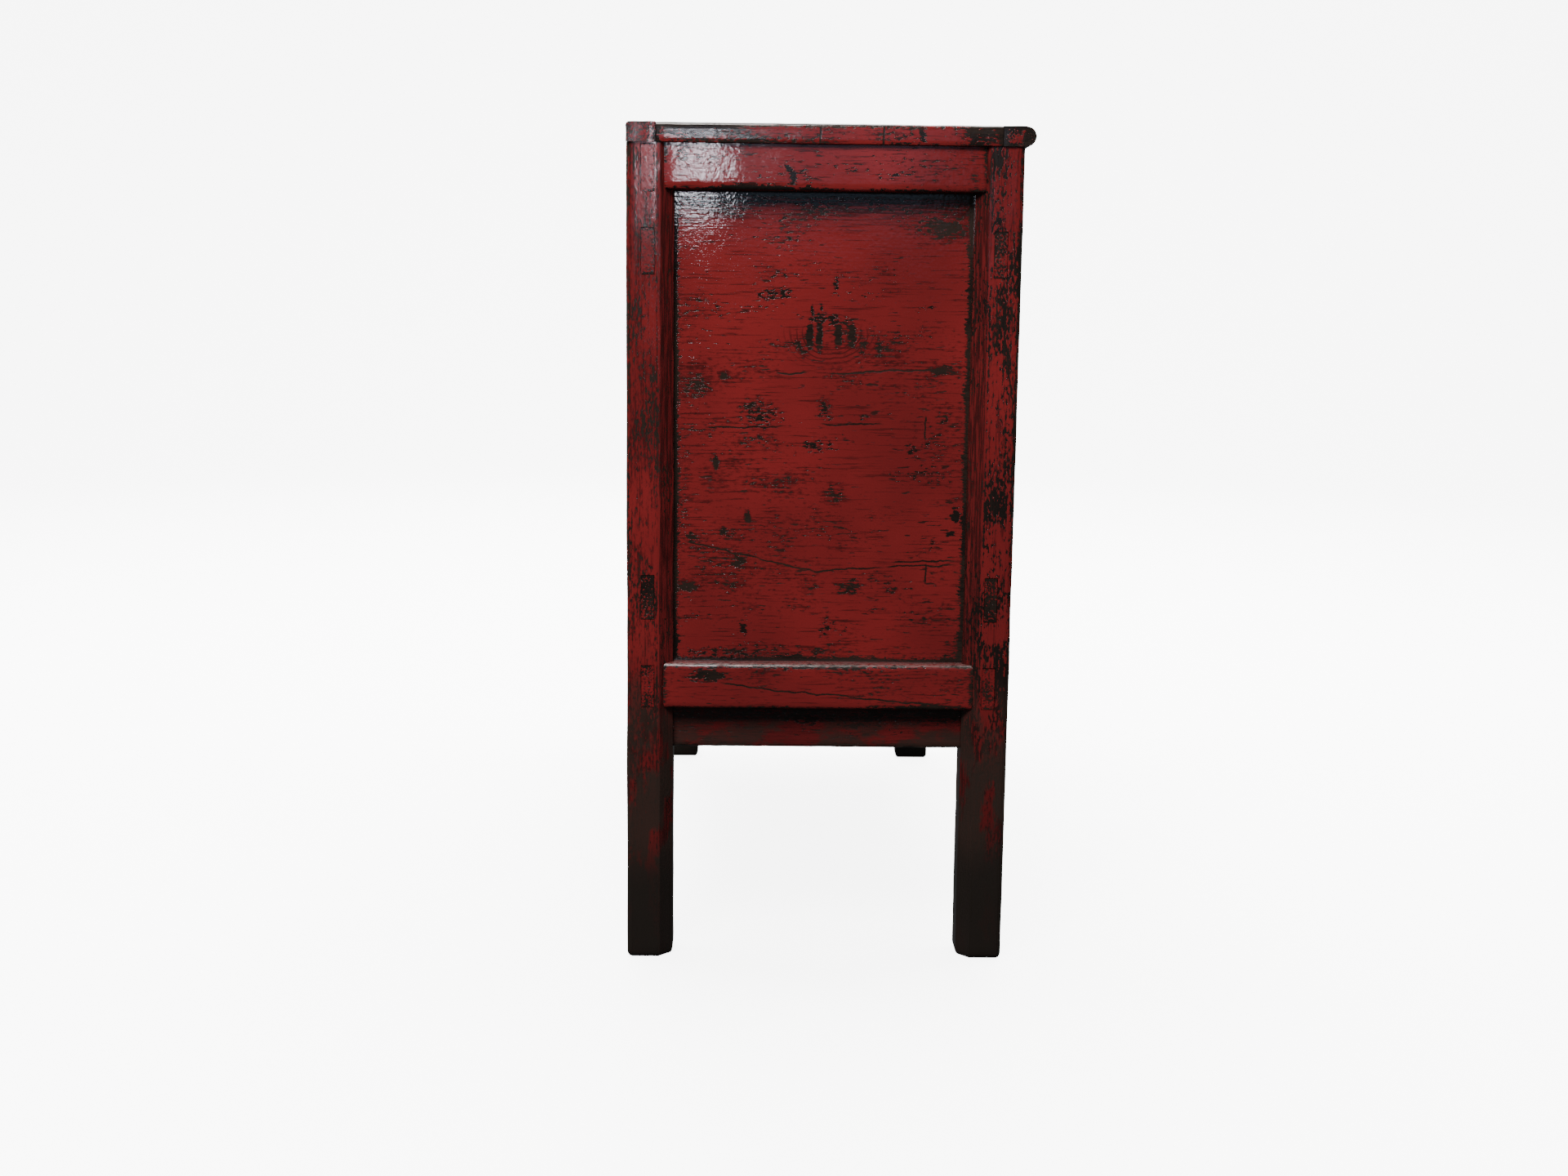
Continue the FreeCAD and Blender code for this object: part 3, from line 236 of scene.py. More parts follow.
RUB_REACH = 4 * MM
RUBBED_SPOT = 9 * MM


def rub(piece, distances, depth, reach=RUB_REACH):
    """Wear the arrises away a little, more in some spots than in others."""
    group = piece.vertex_groups.new(name="arris")
    weights = np.clip(1 - distances / reach, 0, 1)
    for index in np.nonzero(weights)[0]:
        group.add([int(index)], float(weights[index]), "REPLACE")
    hewn(piece, depth, RUBBED_SPOT, inward_at=group.name)
    piece.vertex_groups.clear()


def scars(points, spots):
    """Strength of scars given as (y, z, half width, half height, strength) ellipses, in millimetres."""
    found = np.zeros(len(points))
    for y, z, wide, tall, strength in spots:
        away = np.hypot((points[:, Y] / MM - y) / wide, (points[:, Z] / MM - z) / tall)
        found = np.maximum(found, strength * np.clip(1.6 - 1.2 * away, 0, 1))
    return found


# %% [markdown]
# Joining and cutting with a second mesh
#
# A mortise is cut as a joiner chops it: a block of the tenon's size, a hair larger, is taken out of the post.
# A Boolean modifier does this, and the same call adds a tenon to the end of a rail.

# %% Gather and combine
def gather(pieces):
    """Join pieces into the first of them."""
    hold(pieces[0])
    for piece in pieces:
        piece.select_set(True)
    if len(pieces) > 1:
        bpy.ops.object.join()
    return pieces[0]


def combine(piece, others, operation):
    """Cut other pieces out of this one, or add them to it, and remove them."""
    tool = gather(others)
    change = piece.modifiers.new("joint", "BOOLEAN")
    change.operation = operation
    change.object = tool
    change.solver = "EXACT"
    apply(piece, change)
    bpy.data.objects.remove(tool)


# %% [markdown]
# Handing a piece over
#
# A finished piece needs a material, smooth shading that still breaks at real edges, the body that carries it
# when a drawer or door moves, and the piece of the construction that it stands for. One function does them
# all, so that none is forgotten.

# %% Dress a piece
SMOOTH_BELOW = math.radians(32)


def dress(piece, material, body, node):
    """Finish and shade a lacquered piece, and hand it over for its node."""
    normals = np.empty(len(piece.data.vertices) * 3, np.float32)
    piece.data.vertices.foreach_get("normal", normals)
    facing_up = normals[2::3]
    # How much each point faces up, for dust and a painted sheen of light from above.
    mark(piece, "dust_and_sheen", np.clip(2.5 * facing_up - 1, 0, 1))
    piece.data.materials.clear()
    piece.data.materials.append(material)
    hold(piece)
    bpy.ops.object.shade_smooth_by_angle(angle=SMOOTH_BELOW)
    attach(piece, body)
    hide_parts(node)
    return piece


# %% [markdown]
# Writing shader maths
#
# A material is a graph of nodes. Wiring dozens of them by name is hard to read, so one small class wraps a
# socket: adding or multiplying two of them adds the Math node that does it.

# %% A socket that can be calculated with
class Value:
    """One output of a node, on which Python's operators add Math nodes."""

    def __init__(self, finish, output):
        self.finish = finish
        self.output = output

    def math(self, operation, first, second=0.0):
        return self.finish.node("ShaderNodeMath", {"operation": operation}, {0: first, 1: second})

    def __add__(self, other):
        return self.math("ADD", self, other)

    __radd__ = __add__

    def __mul__(self, other):
        return self.math("MULTIPLY", self, other)

    __rmul__ = __mul__

    def __sub__(self, other):
        return self.math("SUBTRACT", self, other)

    def __rsub__(self, other):
        return self.math("SUBTRACT", other, self)

    def __abs__(self):
        return self.math("ABSOLUTE", self)

    def or_more(self, other):
        return self.math("MAXIMUM", self, other)

    def fraction(self):
        return self.math("FRACT", self)


# %% [markdown]
# A finish that is being built
#
# The second class is the material itself, with the few nodes that every finish here needs. Places come from
# Object coordinates, which stay with a piece when it moves, so a door's grain turns with the door.

# %% A material under construction
class Finish:
    """A material that is being built, node by node."""

    def __init__(self, name):
        self.material = bpy.data.materials.new(name)
        self.material.use_nodes = True
        self.tree = self.material.node_tree
        self.tree.nodes.clear()

    def node(self, kind, settings=None, sockets=None, output=0):
        made_node = self.tree.nodes.new(kind)
        for key, setting in (settings or {}).items():
            setattr(made_node, key, setting)
        for key, given in (sockets or {}).items():
            if isinstance(given, Value):
                self.tree.links.new(given.output, made_node.inputs[key])
            else:
                made_node.inputs[key].default_value = given
        return Value(self, made_node.outputs[output])

    def place(self):
        return self.node("ShaderNodeTexCoord", output="Object")

    def stretched(self, place, grain, share):
        """Places squeezed along the grain, so that a noise over them is drawn out along it."""
        scale = [1.0, 1.0, 1.0]
        scale[grain] = share
        return self.node("ShaderNodeMapping", {}, {"Vector": place, "Scale": scale})

    def vector(self, operation, first, second=(0, 0, 0), output=0):
        return self.node("ShaderNodeVectorMath", {"operation": operation}, {0: first, 1: second}, output)

    def noise(self, place, scale, detail=2.0, roughness=0.5):
        return self.node("ShaderNodeTexNoise", {}, {
            "Vector": place, "Scale": scale, "Detail": detail, "Roughness": roughness})

    def step(self, value, start, end):
        """0 at start, 1 at end, and smooth between them, whichever of the two is larger."""
        return self.node("ShaderNodeMapRange", {"interpolation_type": "SMOOTHSTEP"}, {
            "Value": value, "From Min": start, "From Max": end})

    def mix(self, share, first, second):
        """From one colour to another."""
        return self.node("ShaderNodeMix", {"data_type": "RGBA"}, {0: share, 6: first, 7: second}, output=2)

    def attribute(self, name):
        return self.node("ShaderNodeAttribute", {"attribute_name": name}, output="Fac")

    def part(self, place, axis):
        return self.node("ShaderNodeSeparateXYZ", {}, {0: place}, output=axis)

    def surface(self, colour, roughness, height, depth, **constants):
        """The shader itself: what varies is linked, what is the same all over is set on its socket."""
        normal = self.node("ShaderNodeBump", {}, {"Height": height, "Distance": depth, "Strength": 1.0})
        shader = self.tree.nodes.new("ShaderNodeBsdfPrincipled")
        for key, given in {"Base Color": colour, "Roughness": roughness, "Normal": normal}.items():
            self.tree.links.new(given.output, shader.inputs[key])
        for key, number in constants.items():
            shader.inputs[key.replace("_", " ")].default_value = number
        end = self.tree.nodes.new("ShaderNodeOutputMaterial")
        self.tree.links.new(shader.outputs["BSDF"], end.inputs["Surface"])
        return self.material


# %% [markdown]
# Cracks and knots
#
# Hairline cracks and knots are finer than the grid of any mesh here, so the material draws them. A crack is
# every spot close to a wavering line, and growth rings come from the fraction of the distance to the knot,
# which starts again at zero with each ring.

# %% Hairlines and growth rings on the left end
LEFT_END = (cad_low[X] + 60 * MM, cad_low[X] + 40 * MM)
RINGS_PER_METRE = 210


def on_left_end(f, place):
    """1 on the left end, where this sideboard's own marks are, and 0 elsewhere."""
    return f.step(f.part(place, X), *LEFT_END)


def crack(f, place, start, end, waver=1.6 * MM, half=1.3 * MM):
    """A wavering hairline on the left end between two (y, z) points in millimetres."""
    (y0, z0), (y1, z1) = start, end
    long = math.hypot(y1 - y0, z1 - z0) * MM
    way = Vector((0, y1 - y0, z1 - z0)).normalized()
    across = Vector((0, -way.z, way.y))
    from_start = f.vector("SUBTRACT", place, (0, y0 * MM, z0 * MM))
    gone = f.vector("DOT_PRODUCT", from_start, way, output=1)
    off = f.vector("DOT_PRODUCT", from_start, across, output=1)
    off = abs(off + waver * 4 * (f.noise(place, 70, 3) - 0.5))
    ends = f.step(gone, 0, 0.12 * long) * f.step(gone, long, 0.8 * long)
    return f.step(off, half, 0.3 * half) * ends * on_left_end(f, place)


def knot_rings(f, place, centre, inner, outer):
    """Thin growth rings round a knot at (y, z), between two radii, all in millimetres."""
    y, z = centre
    from_knot = f.vector("SUBTRACT", place, (0, y * MM, z * MM))
    flat = f.vector("MULTIPLY", from_knot, (0, 0.75, 1))
    away = f.vector("LENGTH", flat, output=1)
    rings = abs((away * RINGS_PER_METRE + 1.5 * f.noise(place, 45, 2)).fraction() - 0.5)
    below = f.step(f.part(place, Z), (z + 0.8 * inner) * MM, (z - 0.6 * inner) * MM)
    band = f.step(away, inner * MM, 1.4 * inner * MM) * f.step(away, outer * MM, 0.5 * outer * MM)
    return f.step(rings, 0.22, 0.04) * band * below * on_left_end(f, place)


# %% [markdown]
# Red lacquer over dark wood
#
# The real finish is layers: dark wood, red lacquer rubbed thin, and a glossy varnish over everything. A
# painted picture would have to be unwrapped onto every timber, so it is worked out from noise. Fine noise
# drawn out along the timber is the grain, a broad one decides where the lacquer is weak, and one in between
# breaks the weak spots into torn flecks. Added up with the distance to the arris and compared with a
# threshold, they give a hard-edged bare patch. Where an attribute asks for it, painted shade darkens the red
# toward thin lacquer, and dust with a painted sheen greys faces that look up. Low on the legs the red gives
# way to dark brown, darker towards the bottom.

# %% The lacquer
RED_DEEP = (0.150, 0.0142, 0.0150, 1)
RED_BRIGHT = (0.214, 0.0188, 0.0196, 1)
# Thin lacquer, and also the tone that painted shade darkens the red toward.
RED_THIN_AND_SHADE = (0.047, 0.0078, 0.0078, 1)
SOOT = (0.0115, 0.0085, 0.0073, 1)
OLD_WOOD = (0.0275, 0.0180, 0.0138, 1)
LEG_BROWN = (0.0330, 0.0225, 0.0180, 1)
FOOT_BROWN = (0.0185, 0.0145, 0.0120, 1)
# Grey of dust, and also a painted sheen of light from above on faces that look up.
DUST_AND_SHEEN_TONE = (0.125, 0.082, 0.078, 1)
BARE, THIN, NICKED = (0.36, 0.43), (0.06, 0.44), (0.655, 0.70)
DULL_BELOW, DARK_BELOW = (0.36, 0.20), (0.150, 0.085)
VARNISH_DEPTH = 0.7 * MM


def lacquer(name, grain, wear=0.0, low=False, grime=0.0, cracks=(), knot=None, dust_and_sheen=0.0,
            polish=0.07, dull=0.10):
    """Red lacquer on timber whose grain runs along one axis."""
    f = Finish(name)
    place = f.place()
    fine = f.stretched(place, grain, 0.045)
    dashed = f.stretched(place, grain, 0.16)
    torn = f.stretched(place, grain, 0.40)
    fibres = f.noise(fine, 560, 3, 0.6)
    nicks = f.noise(dashed, 330, 2, 0.5)
    flecks = f.noise(torn, 400, 3, 0.6)
    weak = f.noise(torn, 34, 3, 0.55)
    haze = f.noise(torn, 12, 3, 0.55)
    broad = f.noise(place, 7, 2, 0.5)
    peel = f.noise(place, 240, 3, 0.55)
    arris = f.attribute("arris")

    near = f.step(arris, 6 * MM, 0.6 * MM)
    rubbed = 0.42 * near + 0.50 * f.attribute("scar") + wear
    tired = 1.7 * (flecks - 0.5) + 1.25 * (weak - 0.5) + 0.5 * (fibres - 0.5) + rubbed
    bare = f.step(tired, *BARE)
    thin = f.step(tired + 0.9 * (haze - 0.5), *THIN)

    scratches = f.step(fibres, 0.55, 0.68)
    streaks = f.step(fibres, 0.42, 0.58)
    red = f.mix(f.step(broad, 0.3, 0.7), RED_DEEP, RED_BRIGHT)
    red = f.mix(0.75 * scratches, red, RED_THIN_AND_SHADE)
    # Painted shade: where the attribute asks, the red is darkened toward thin lacquer, streaked along the
    # grain.
    painted_shade = f.attribute("painted_shade") * (0.35 + 1.05 * streaks)
    red = f.mix((thin * (0.40 + 0.50 * streaks)).or_more(painted_shade), red, RED_THIN_AND_SHADE)
    if knot:
        red = f.mix(0.85 * knot_rings(f, place, *knot), red, RED_THIN_AND_SHADE)
    if grime:
        ragged = arris + 0.022 * (weak - 0.5) + 0.024 * (flecks - 0.5)
        bare = bare.or_more(f.step(ragged, grime, 0.5 * grime))
    black = bare.or_more(0.85 * f.step(nicks + 0.3 * (weak - 0.5), *NICKED))
    for line in cracks:
        black = black.or_more(crack(f, place, *line))
    wood = f.mix(f.step(haze + 0.5 * (fibres - 0.5), 0.35, 0.65), SOOT, OLD_WOOD)
    colour = f.mix(black, red, wood)
    # Low on the legs the lacquer is dulled and browned, darker towards the bottom.
    if low:
        up = f.part(place, Z)
        smears = f.noise(torn, 42, 4, 0.6)
        dulled = f.step(up + 0.10 * (weak - 0.5), *DULL_BELOW)
        colour = f.mix(0.45 * dulled, colour, RED_THIN_AND_SHADE)
        colour = f.mix(0.92 * dulled * f.step(smears + 0.10 * dulled, 0.49, 0.60), colour, LEG_BROWN)
        fade = f.step(up + 0.05 * (broad - 0.5) + 0.04 * (smears - 0.5), *DARK_BELOW)
        colour = f.mix(0.95 * fade, colour, FOOT_BROWN)
    # Dust on faces that look up, with a painted sheen of light from above in the same grey.
    if dust_and_sheen:
        colour = f.mix(dust_and_sheen * f.attribute("dust_and_sheen") * f.step(flecks, 0.62, 0.45), colour, DUST_AND_SHEEN_TONE)
    roughness = polish + 0.04 * fibres + dull * f.step(flecks, 0.42, 0.62) + 0.03 * broad
    height = 0.06 * fibres + 0.13 * peel + 0.05 * flecks - 0.07 * black
    return f.surface(colour, roughness, height, VARNISH_DEPTH, IOR=1.5)


GRAIN_NAMES = {X: "along", Y: "across", Z: "upright"}
LACQUER = {axis: lacquer("red_lacquer_" + GRAIN_NAMES[axis], axis) for axis in (X, Z)}
print("lacquers", [m.name for m in LACQUER.values()])

# %% [markdown]
# Bare wood and brass
#
# Inside the case nothing was lacquered: the wood is dry and brown, with the same grain noise at work but no
# gloss. The brass is dull gold where it is touched and brown where polish never reaches. Both use the same
# few nodes as the lacquer, with other numbers.

# %% Bare wood and brass
WOOD_PALE = (0.155, 0.088, 0.047, 1)
WOOD_DARK = (0.085, 0.045, 0.023, 1)
WOOD_DEPTH = 0.5 * MM
BRASS_GOLD = (0.52, 0.33, 0.11, 1)
BRASS_BROWN = (0.16, 0.085, 0.030, 1)
BRASS_DEPTH = 0.15 * MM


def bare_wood(name, grain):
    """Dry brown wood with its grain along one axis, stained here and there."""
    f = Finish(name)
    place = f.place()
    fine = f.stretched(place, grain, 0.04)
    rings = f.noise(fine, 60, 3, 0.55)
    fibres = f.noise(fine, 480, 3, 0.6)
    stains = f.noise(place, 9, 3, 0.6)
    colour = f.mix(f.step(rings, 0.35, 0.65), WOOD_PALE, WOOD_DARK)
    colour = f.mix(0.5 * f.step(fibres, 0.5, 0.75), colour, WOOD_DARK)
    colour = f.mix(0.55 * f.step(stains, 0.5, 0.8), colour, OLD_WOOD)
    return f.surface(colour, 0.62 + 0.2 * fibres, 0.5 * fibres + 0.3 * rings, WOOD_DEPTH, IOR=1.45)


def brass(name):
    """Dull brass with brown clouds and fine pits."""
    f = Finish(name)
    place = f.place()
    cloud = f.noise(place, 130, 4, 0.6)
    spots = f.noise(place, 900, 2, 0.5)
    stained = f.step(cloud, 0.46, 0.66)
    colour = f.mix(stained, BRASS_GOLD, BRASS_BROWN)
    roughness = 0.27 + 0.30 * stained + 0.10 * spots
    return f.surface(colour, roughness, 0.5 * cloud + 0.3 * spots, BRASS_DEPTH, Metallic=1.0)


WOOD = {axis: bare_wood("bare_wood_" + GRAIN_NAMES[axis], axis) for axis in (X, Y)}
BRASS = brass("aged_brass")
print("woods", [m.name for m in WOOD.values()], BRASS.name)

# %% [markdown]
# Tenons through the posts
#
# The long rails end in tenons that pass right through the posts, and their ends show on the sides of the
# case. A post needs the hole and a rail the tongue, so both come from one function, and the block is a gap
# larger when it is to be cut out.

# %% Sizes that the posts and rails share
ENDS = ("left", "right")
UNDER_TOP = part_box("top_end_cap_left")[0].z
CHAMFER = 13 * MM
TENON_DEPTH = 22 * MM
TENON_THICK = 13 * MM
TENON_SHOULDER = 2 * MM
TENON_GAP = 0.45 * MM
TENON_SUNK = 0.5 * MM
MORTISE_OVERRUN = 5 * MM
FRONT_RAILS = ("front_drawer_rail", "front_sill_rail", "front_bottom_rail")
BACK_RAILS = ("back_top_rail", "back_drawer_rail", "back_sill_rail", "back_bottom_rail")
STOP_LIP = 6 * MM
RAIL_LIPS = {"front_drawer_rail": (STOP_LIP, 0), "front_sill_rail": (0, STOP_LIP)}


def rail_heights(rail):
    """Bottom and top of a long rail, without the lip that stops the doors."""
    low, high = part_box(rail)
    below, above = RAIL_LIPS.get(rail, (0, 0))
    return low.z + below, high.z - above


def tenon_block(rail, post_node, front, gap):
    """The tenon of a long rail where it passes through one post, a gap larger all round."""
    low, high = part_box(post_node)
    middle = low.y + TENON_DEPTH if front else high.y - TENON_DEPTH
    bottom, top = rail_heights(rail)
    half = TENON_THICK / 2 + gap
    over = MORTISE_OVERRUN if gap else -TENON_SUNK
    return block("tenon", (low.x - over, middle - half, bottom + TENON_SHOULDER - gap),
                 (high.x + over, middle + half, top - TENON_SHOULDER + gap))


# %% [markdown]
# The four posts
#
# A post is one timber from floor to top. Its corner toward the panel is cut off in a broad chamfer, the outer
# one is rounded, and years of floor washing have rounded the foot. Bevels come before the grid, because a
# bevel needs long clean edges, and mortises after the plane marks, so that their rims stay crisp. The chamfer
# is out of reach of hands, so it gets its own marks: little wear, and painted shade, because it faces away
# from the light.

# %% Posts
CORNER_ROUND = 6 * MM
FOOT_ROUND = 6 * MM
ROOM_ROUND = 2.5 * MM
POST_WAVES = ((1.2 * MM, 90 * MM), (0.25 * MM, 16 * MM))
POST_RUB = 1.5 * MM
STRIP_SLACK = 1.2 * MM
POST_SCARS = {
    "post_front_left": [
        (-172, 484, 16, 20, 0.5), (-167, 446, 9, 15, 0.4), (-175, 387, 13, 28, 0.55),
        (-176, 338, 16, 8, 0.6), (-177, 690, 12, 40, 0.35), (-168, 770, 14, 8, 0.5),
        (-180, 290, 12, 40, 0.5), (-165, 838, 9, 16, 0.6)],
    "post_back_left": [
        (185, 393, 8, 28, 0.7), (188, 750, 10, 28, 0.5), (190, 280, 15, 40, 0.6), (180, 560, 16, 70, 0.25)],
}
# The chamfer strips carry painted shade: they face away from the light, so their lacquer is darkened toward
# thin red, and the front one is also given a little more wear for the same darkness.
STRIP_WEAR_AND_SHADE = {"front": 0.05, "back": 0.0}
STRIP_PAINTED_SHADE = {"front": 0.95, "back": 0.75}
POST_CRACKS = (((-172, 705), (-190, 570)), ((-187, 595), (-196, 515)))
LACQUER_POST = {"front": lacquer("red_lacquer_post_front", Z, wear=0.23, low=True, cracks=POST_CRACKS),
                "back": lacquer("red_lacquer_post_back", Z, wear=0.15, low=True)}


def post(node, place_name, end_name):
    """One post, from its node's box up to the underside of the top."""
    front, left = place_name == "front", end_name == "left"
    low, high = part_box(node)
    high.z = UNDER_TOP
    end_x, room_x = (low.x, high.x) if left else (high.x, low.x)
    outer_y, inner_y = (low.y, high.y) if front else (high.y, low.y)
    piece = block(node + "_worn", low, high)
    bevel(piece, along(Z, x=end_x, y=inner_y), CHAMFER, 1)
    bevel(piece, along(Z, x=end_x, y=outer_y), CORNER_ROUND, 4)
    bevel(piece, along(Z, x=room_x), ROOM_ROUND, 2)
    bevel(piece, lambda a, b: np.maximum(a[:, Z], b[:, Z]) < low.z + SAME_PLACE, FOOT_ROUND, 4)
    grid(piece, (Z, X, Y))

    toward = 1 if left else -1
    outward = -1 if front else 1
    corners = [(end_x, outer_y), (room_x, outer_y), (room_x, inner_y),
               (end_x + toward * CHAMFER, inner_y), (end_x, inner_y + outward * CHAMFER)]

    def from_corners():
        at = points_of(piece)
        return np.min([np.hypot(at[:, X] - x, at[:, Y] - y) for x, y in corners], axis=0)

    planed(piece, POST_WAVES)
    rub(piece, from_corners(), POST_RUB)
    rails = FRONT_RAILS if front else BACK_RAILS
    combine(piece, [tenon_block(rail, node, front, TENON_GAP) for rail in rails], "DIFFERENCE")

    at = points_of(piece)
    sunk = (np.abs(at[:, X] - end_x) - CHAMFER + np.abs(at[:, Y] - inner_y)) / math.sqrt(2)
    on_strip = np.abs(sunk) < STRIP_SLACK
    mark(piece, "arris", np.where(on_strip, CHAMFER, from_corners()))
    # On the chamfer strip the lacquer gets painted shade, because the strip faces away from the light, and a
    # little wear in place of the post's scars.
    mark(piece, "scar", np.where(on_strip, STRIP_WEAR_AND_SHADE[place_name], scars(at, POST_SCARS.get(node, []))))
    mark(piece, "painted_shade", STRIP_PAINTED_SHADE[place_name] * on_strip)
    dress(piece, LACQUER_POST[place_name], "case", node)


for place_name in ("front", "back"):
    for end_name in ENDS:
        post(f"post_{place_name}_{end_name}", place_name, end_name)

# %% [markdown]
# The two end frames
#
# Each end is a frame with a panel in it. The ends of its rails are scribed: cut at a slant to lie against the
# posts' chamfers. The slant is made before the bevels, by cutting the block once across its thickness and
# pushing out the ends of its face. The edge under the top stays square and unworn, because nothing rubs it.

# %% End rails
RAIL_ROUND = 3.5 * MM
RAIL_WAVES = ((0.7 * MM, 90 * MM), (0.15 * MM, 14 * MM))
RAIL_RUB = 1.8 * MM
RAIL_RUB_REACH = 5 * MM
SCRIBE_GAP = 0.4 * MM
SHELTERED = 20 * MM
END_RAIL_SCARS = {
    "side_top_rail_left": [
        (-120, 822, 20, 18, 0.40), (80, 807, 35, 3, 1.0), (-62, 820, 28, 4, 0.7), (-143, 815, 5, 14, 0.9),
        (17, 843, 8, 3, 1.0), (150, 828, 8, 20, 0.4), (44, 825, 3, 3, 1.4), (24, 809, 3, 3, 1.4),
        (39, 818, 3, 8, 1.3), (27, 820, 3, 7, 1.1)],
    "side_bottom_rail_left": [(124, 307, 24, 7, 1.0), (20, 315, 150, 3, 0.5), (-110, 276, 40, 4, 0.9)],
}
TOP_RAIL_KNOT = ((34, 818), 4, 11)
LACQUER_TOP_RAIL = lacquer("red_lacquer_top_rail", Y, wear=0.02, knot=TOP_RAIL_KNOT, polish=0.04,
                           dull=0.05)
BOTTOM_RAIL_CRACKS = (((112, 300), (20, 289)), ((45, 291), (-40, 286)), ((-20, 286), (-148, 275)))
# The low rail's upward face is greyed by dust and a painted sheen of light from above.
LACQUER_LOW_RAIL = lacquer("red_lacquer_low_rail", Y, wear=0.03, cracks=BOTTOM_RAIL_CRACKS, dust_and_sheen=0.75)


def end_rail(node, end_name, material, under_top=False):
    """A rail across one end, between the chamfers of its two posts."""
    left = end_name == "left"
    low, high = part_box(node)
    front_post, back_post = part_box("post_front_" + end_name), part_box("post_back_" + end_name)
    low.y, high.y = front_post[1].y + SCRIBE_GAP, back_post[0].y - SCRIBE_GAP
    face_x = low.x if left else high.x
    post_x = front_post[0].x if left else front_post[1].x
    turn_x = post_x + (CHAMFER if left else -CHAMFER)
    scribe = abs(turn_x - face_x)
    piece = block(node + "_worn", low, high)
    with chosen(piece, "EDGE", lambda a, b: np.ones(len(a), bool)):
        bpy.ops.mesh.bisect(plane_co=(turn_x, 0, 0), plane_no=(1, 0, 0))
    for end_y, push in ((low.y, -scribe), (high.y, scribe)):
        with chosen(piece, "POINT", lambda p: np.hypot(p[:, X] - face_x, p[:, Y] - end_y) < SAME_PLACE):
            bpy.ops.transform.translate(value=(0, push, 0))
    for edge_z in (low.z,) if under_top else (low.z, high.z):
        bevel(piece, along(Y, x=face_x, z=edge_z), RAIL_ROUND, 3)
    grid(piece, (Y, Z))
    reach_low = Vector((low.x, low.y - scribe, low.z))
    reach_high = Vector((high.x, high.y + scribe, high.z + (SHELTERED if under_top else 0)))
    planed(piece, RAIL_WAVES)
    rub(piece, from_box_edges(points_of(piece), reach_low, reach_high), RAIL_RUB, RAIL_RUB_REACH)
    at = points_of(piece)
    mark(piece, "arris", from_box_edges(at, reach_low, reach_high))
    mark(piece, "scar", scars(at, END_RAIL_SCARS.get(node, [])))
    dress(piece, material, "case", node)


for end_name in ENDS:
    end_rail("side_top_rail_" + end_name, end_name, LACQUER_TOP_RAIL, under_top=True)
    end_rail("side_bottom_rail_" + end_name, end_name, LACQUER_LOW_RAIL)

# %% [markdown]
# The end panel
#
# The panel is one wide board with its grain lying down. It has a large knot, black rubbed spots and hairline
# cracks, and grime that no cloth ever reached lies along its frame. Under the top rail it is darkened by
# painted shade, together with grime there. The spots are a short list of places and sizes for the scar
# attribute. A finer grid than on the timbers keeps them sharp.

# %% End panel
PANEL_CELL = 3 * MM
PANEL_WAVES = ((0.8 * MM, 150 * MM), (0.10 * MM, 20 * MM))
# Painted shade under the top rail: how strongly, and how far down, the panel's top is darkened toward thin
# red.
PANEL_SHADE = 0.9
PANEL_SHADE_REACH = 38 * MM
PANEL_SHADE_FADE = 22 * MM
KNOT_SCARS = [
    (20, 662, 4, 18, 1.4), (10, 656, 3.5, 18, 1.5), (-9, 658, 3.5, 16, 1.4), (-23, 660, 4, 15, 1.1),
    (10, 677, 10, 7, 1.2), (-4, 676, 8, 6, 1.2), (-17, 676, 6, 5, 0.9), (18, 687, 2, 6, 1.4),
    (8, 688, 2, 6, 1.4), (32, 650, 4, 6, 0.9), (26, 643, 5, 5, 0.9), (-34, 650, 4, 8, 0.9),
    (-51, 650, 3, 7, 1.0),
]
PANEL_SCARS = KNOT_SCARS + [
    (54, 702, 24, 6, 0.75), (127, 686, 29, 13, 0.62), (138, 608, 19, 22, 0.72), (108, 619, 5, 5, 1.5),
    (-116, 625, 15, 4, 0.8), (-119, 577, 12, 3, 0.9), (75, 549, 32, 8, 0.65), (10, 546, 22, 8, 0.7),
    (-87, 544, 7, 7, 0.75), (116, 528, 3, 8, 1.6), (-7, 495, 12, 12, 0.8), (-6, 710, 3, 10, 0.9),
    (3, 585, 9, 16, 0.75), (-37, 576, 8, 7, 0.75), (69, 585, 25, 18, 0.6), (83, 474, 3, 8, 1.6),
    (141, 451, 5, 5, 1.3), (107, 457, 6, 5, 1.1), (92, 426, 7, 8, 1.0), (95, 401, 15, 11, 0.65),
    (145, 398, 11, 6, 1.3), (16, 402, 12, 10, 0.75), (-22, 398, 16, 10, 0.85), (-69, 395, 9, 3, 0.8),
    (46, 360, 14, 7, 0.75), (86, 354, 4, 5, 1.2), (0, 357, 9, 13, 0.8), (62, 331, 94, 8, 0.8),
    (-134, 337, 10, 14, 0.9), (-134, 475, 5, 8, 1.5), (-129, 457, 5, 5, 1.2), (-113, 764, 27, 11, 0.5),
    (-102, 690, 16, 3, 0.7), (-120, 520, 24, 40, 0.22), (120, 440, 30, 30, 0.25), (150, 500, 8, 60, 0.5),
    # These three spots along the top are painted shade under the top rail, together with grime there.
    (0, 800, 400, 24, 0.75), (145, 776, 22, 18, 0.40), (-120, 780, 40, 22, 0.6),
]
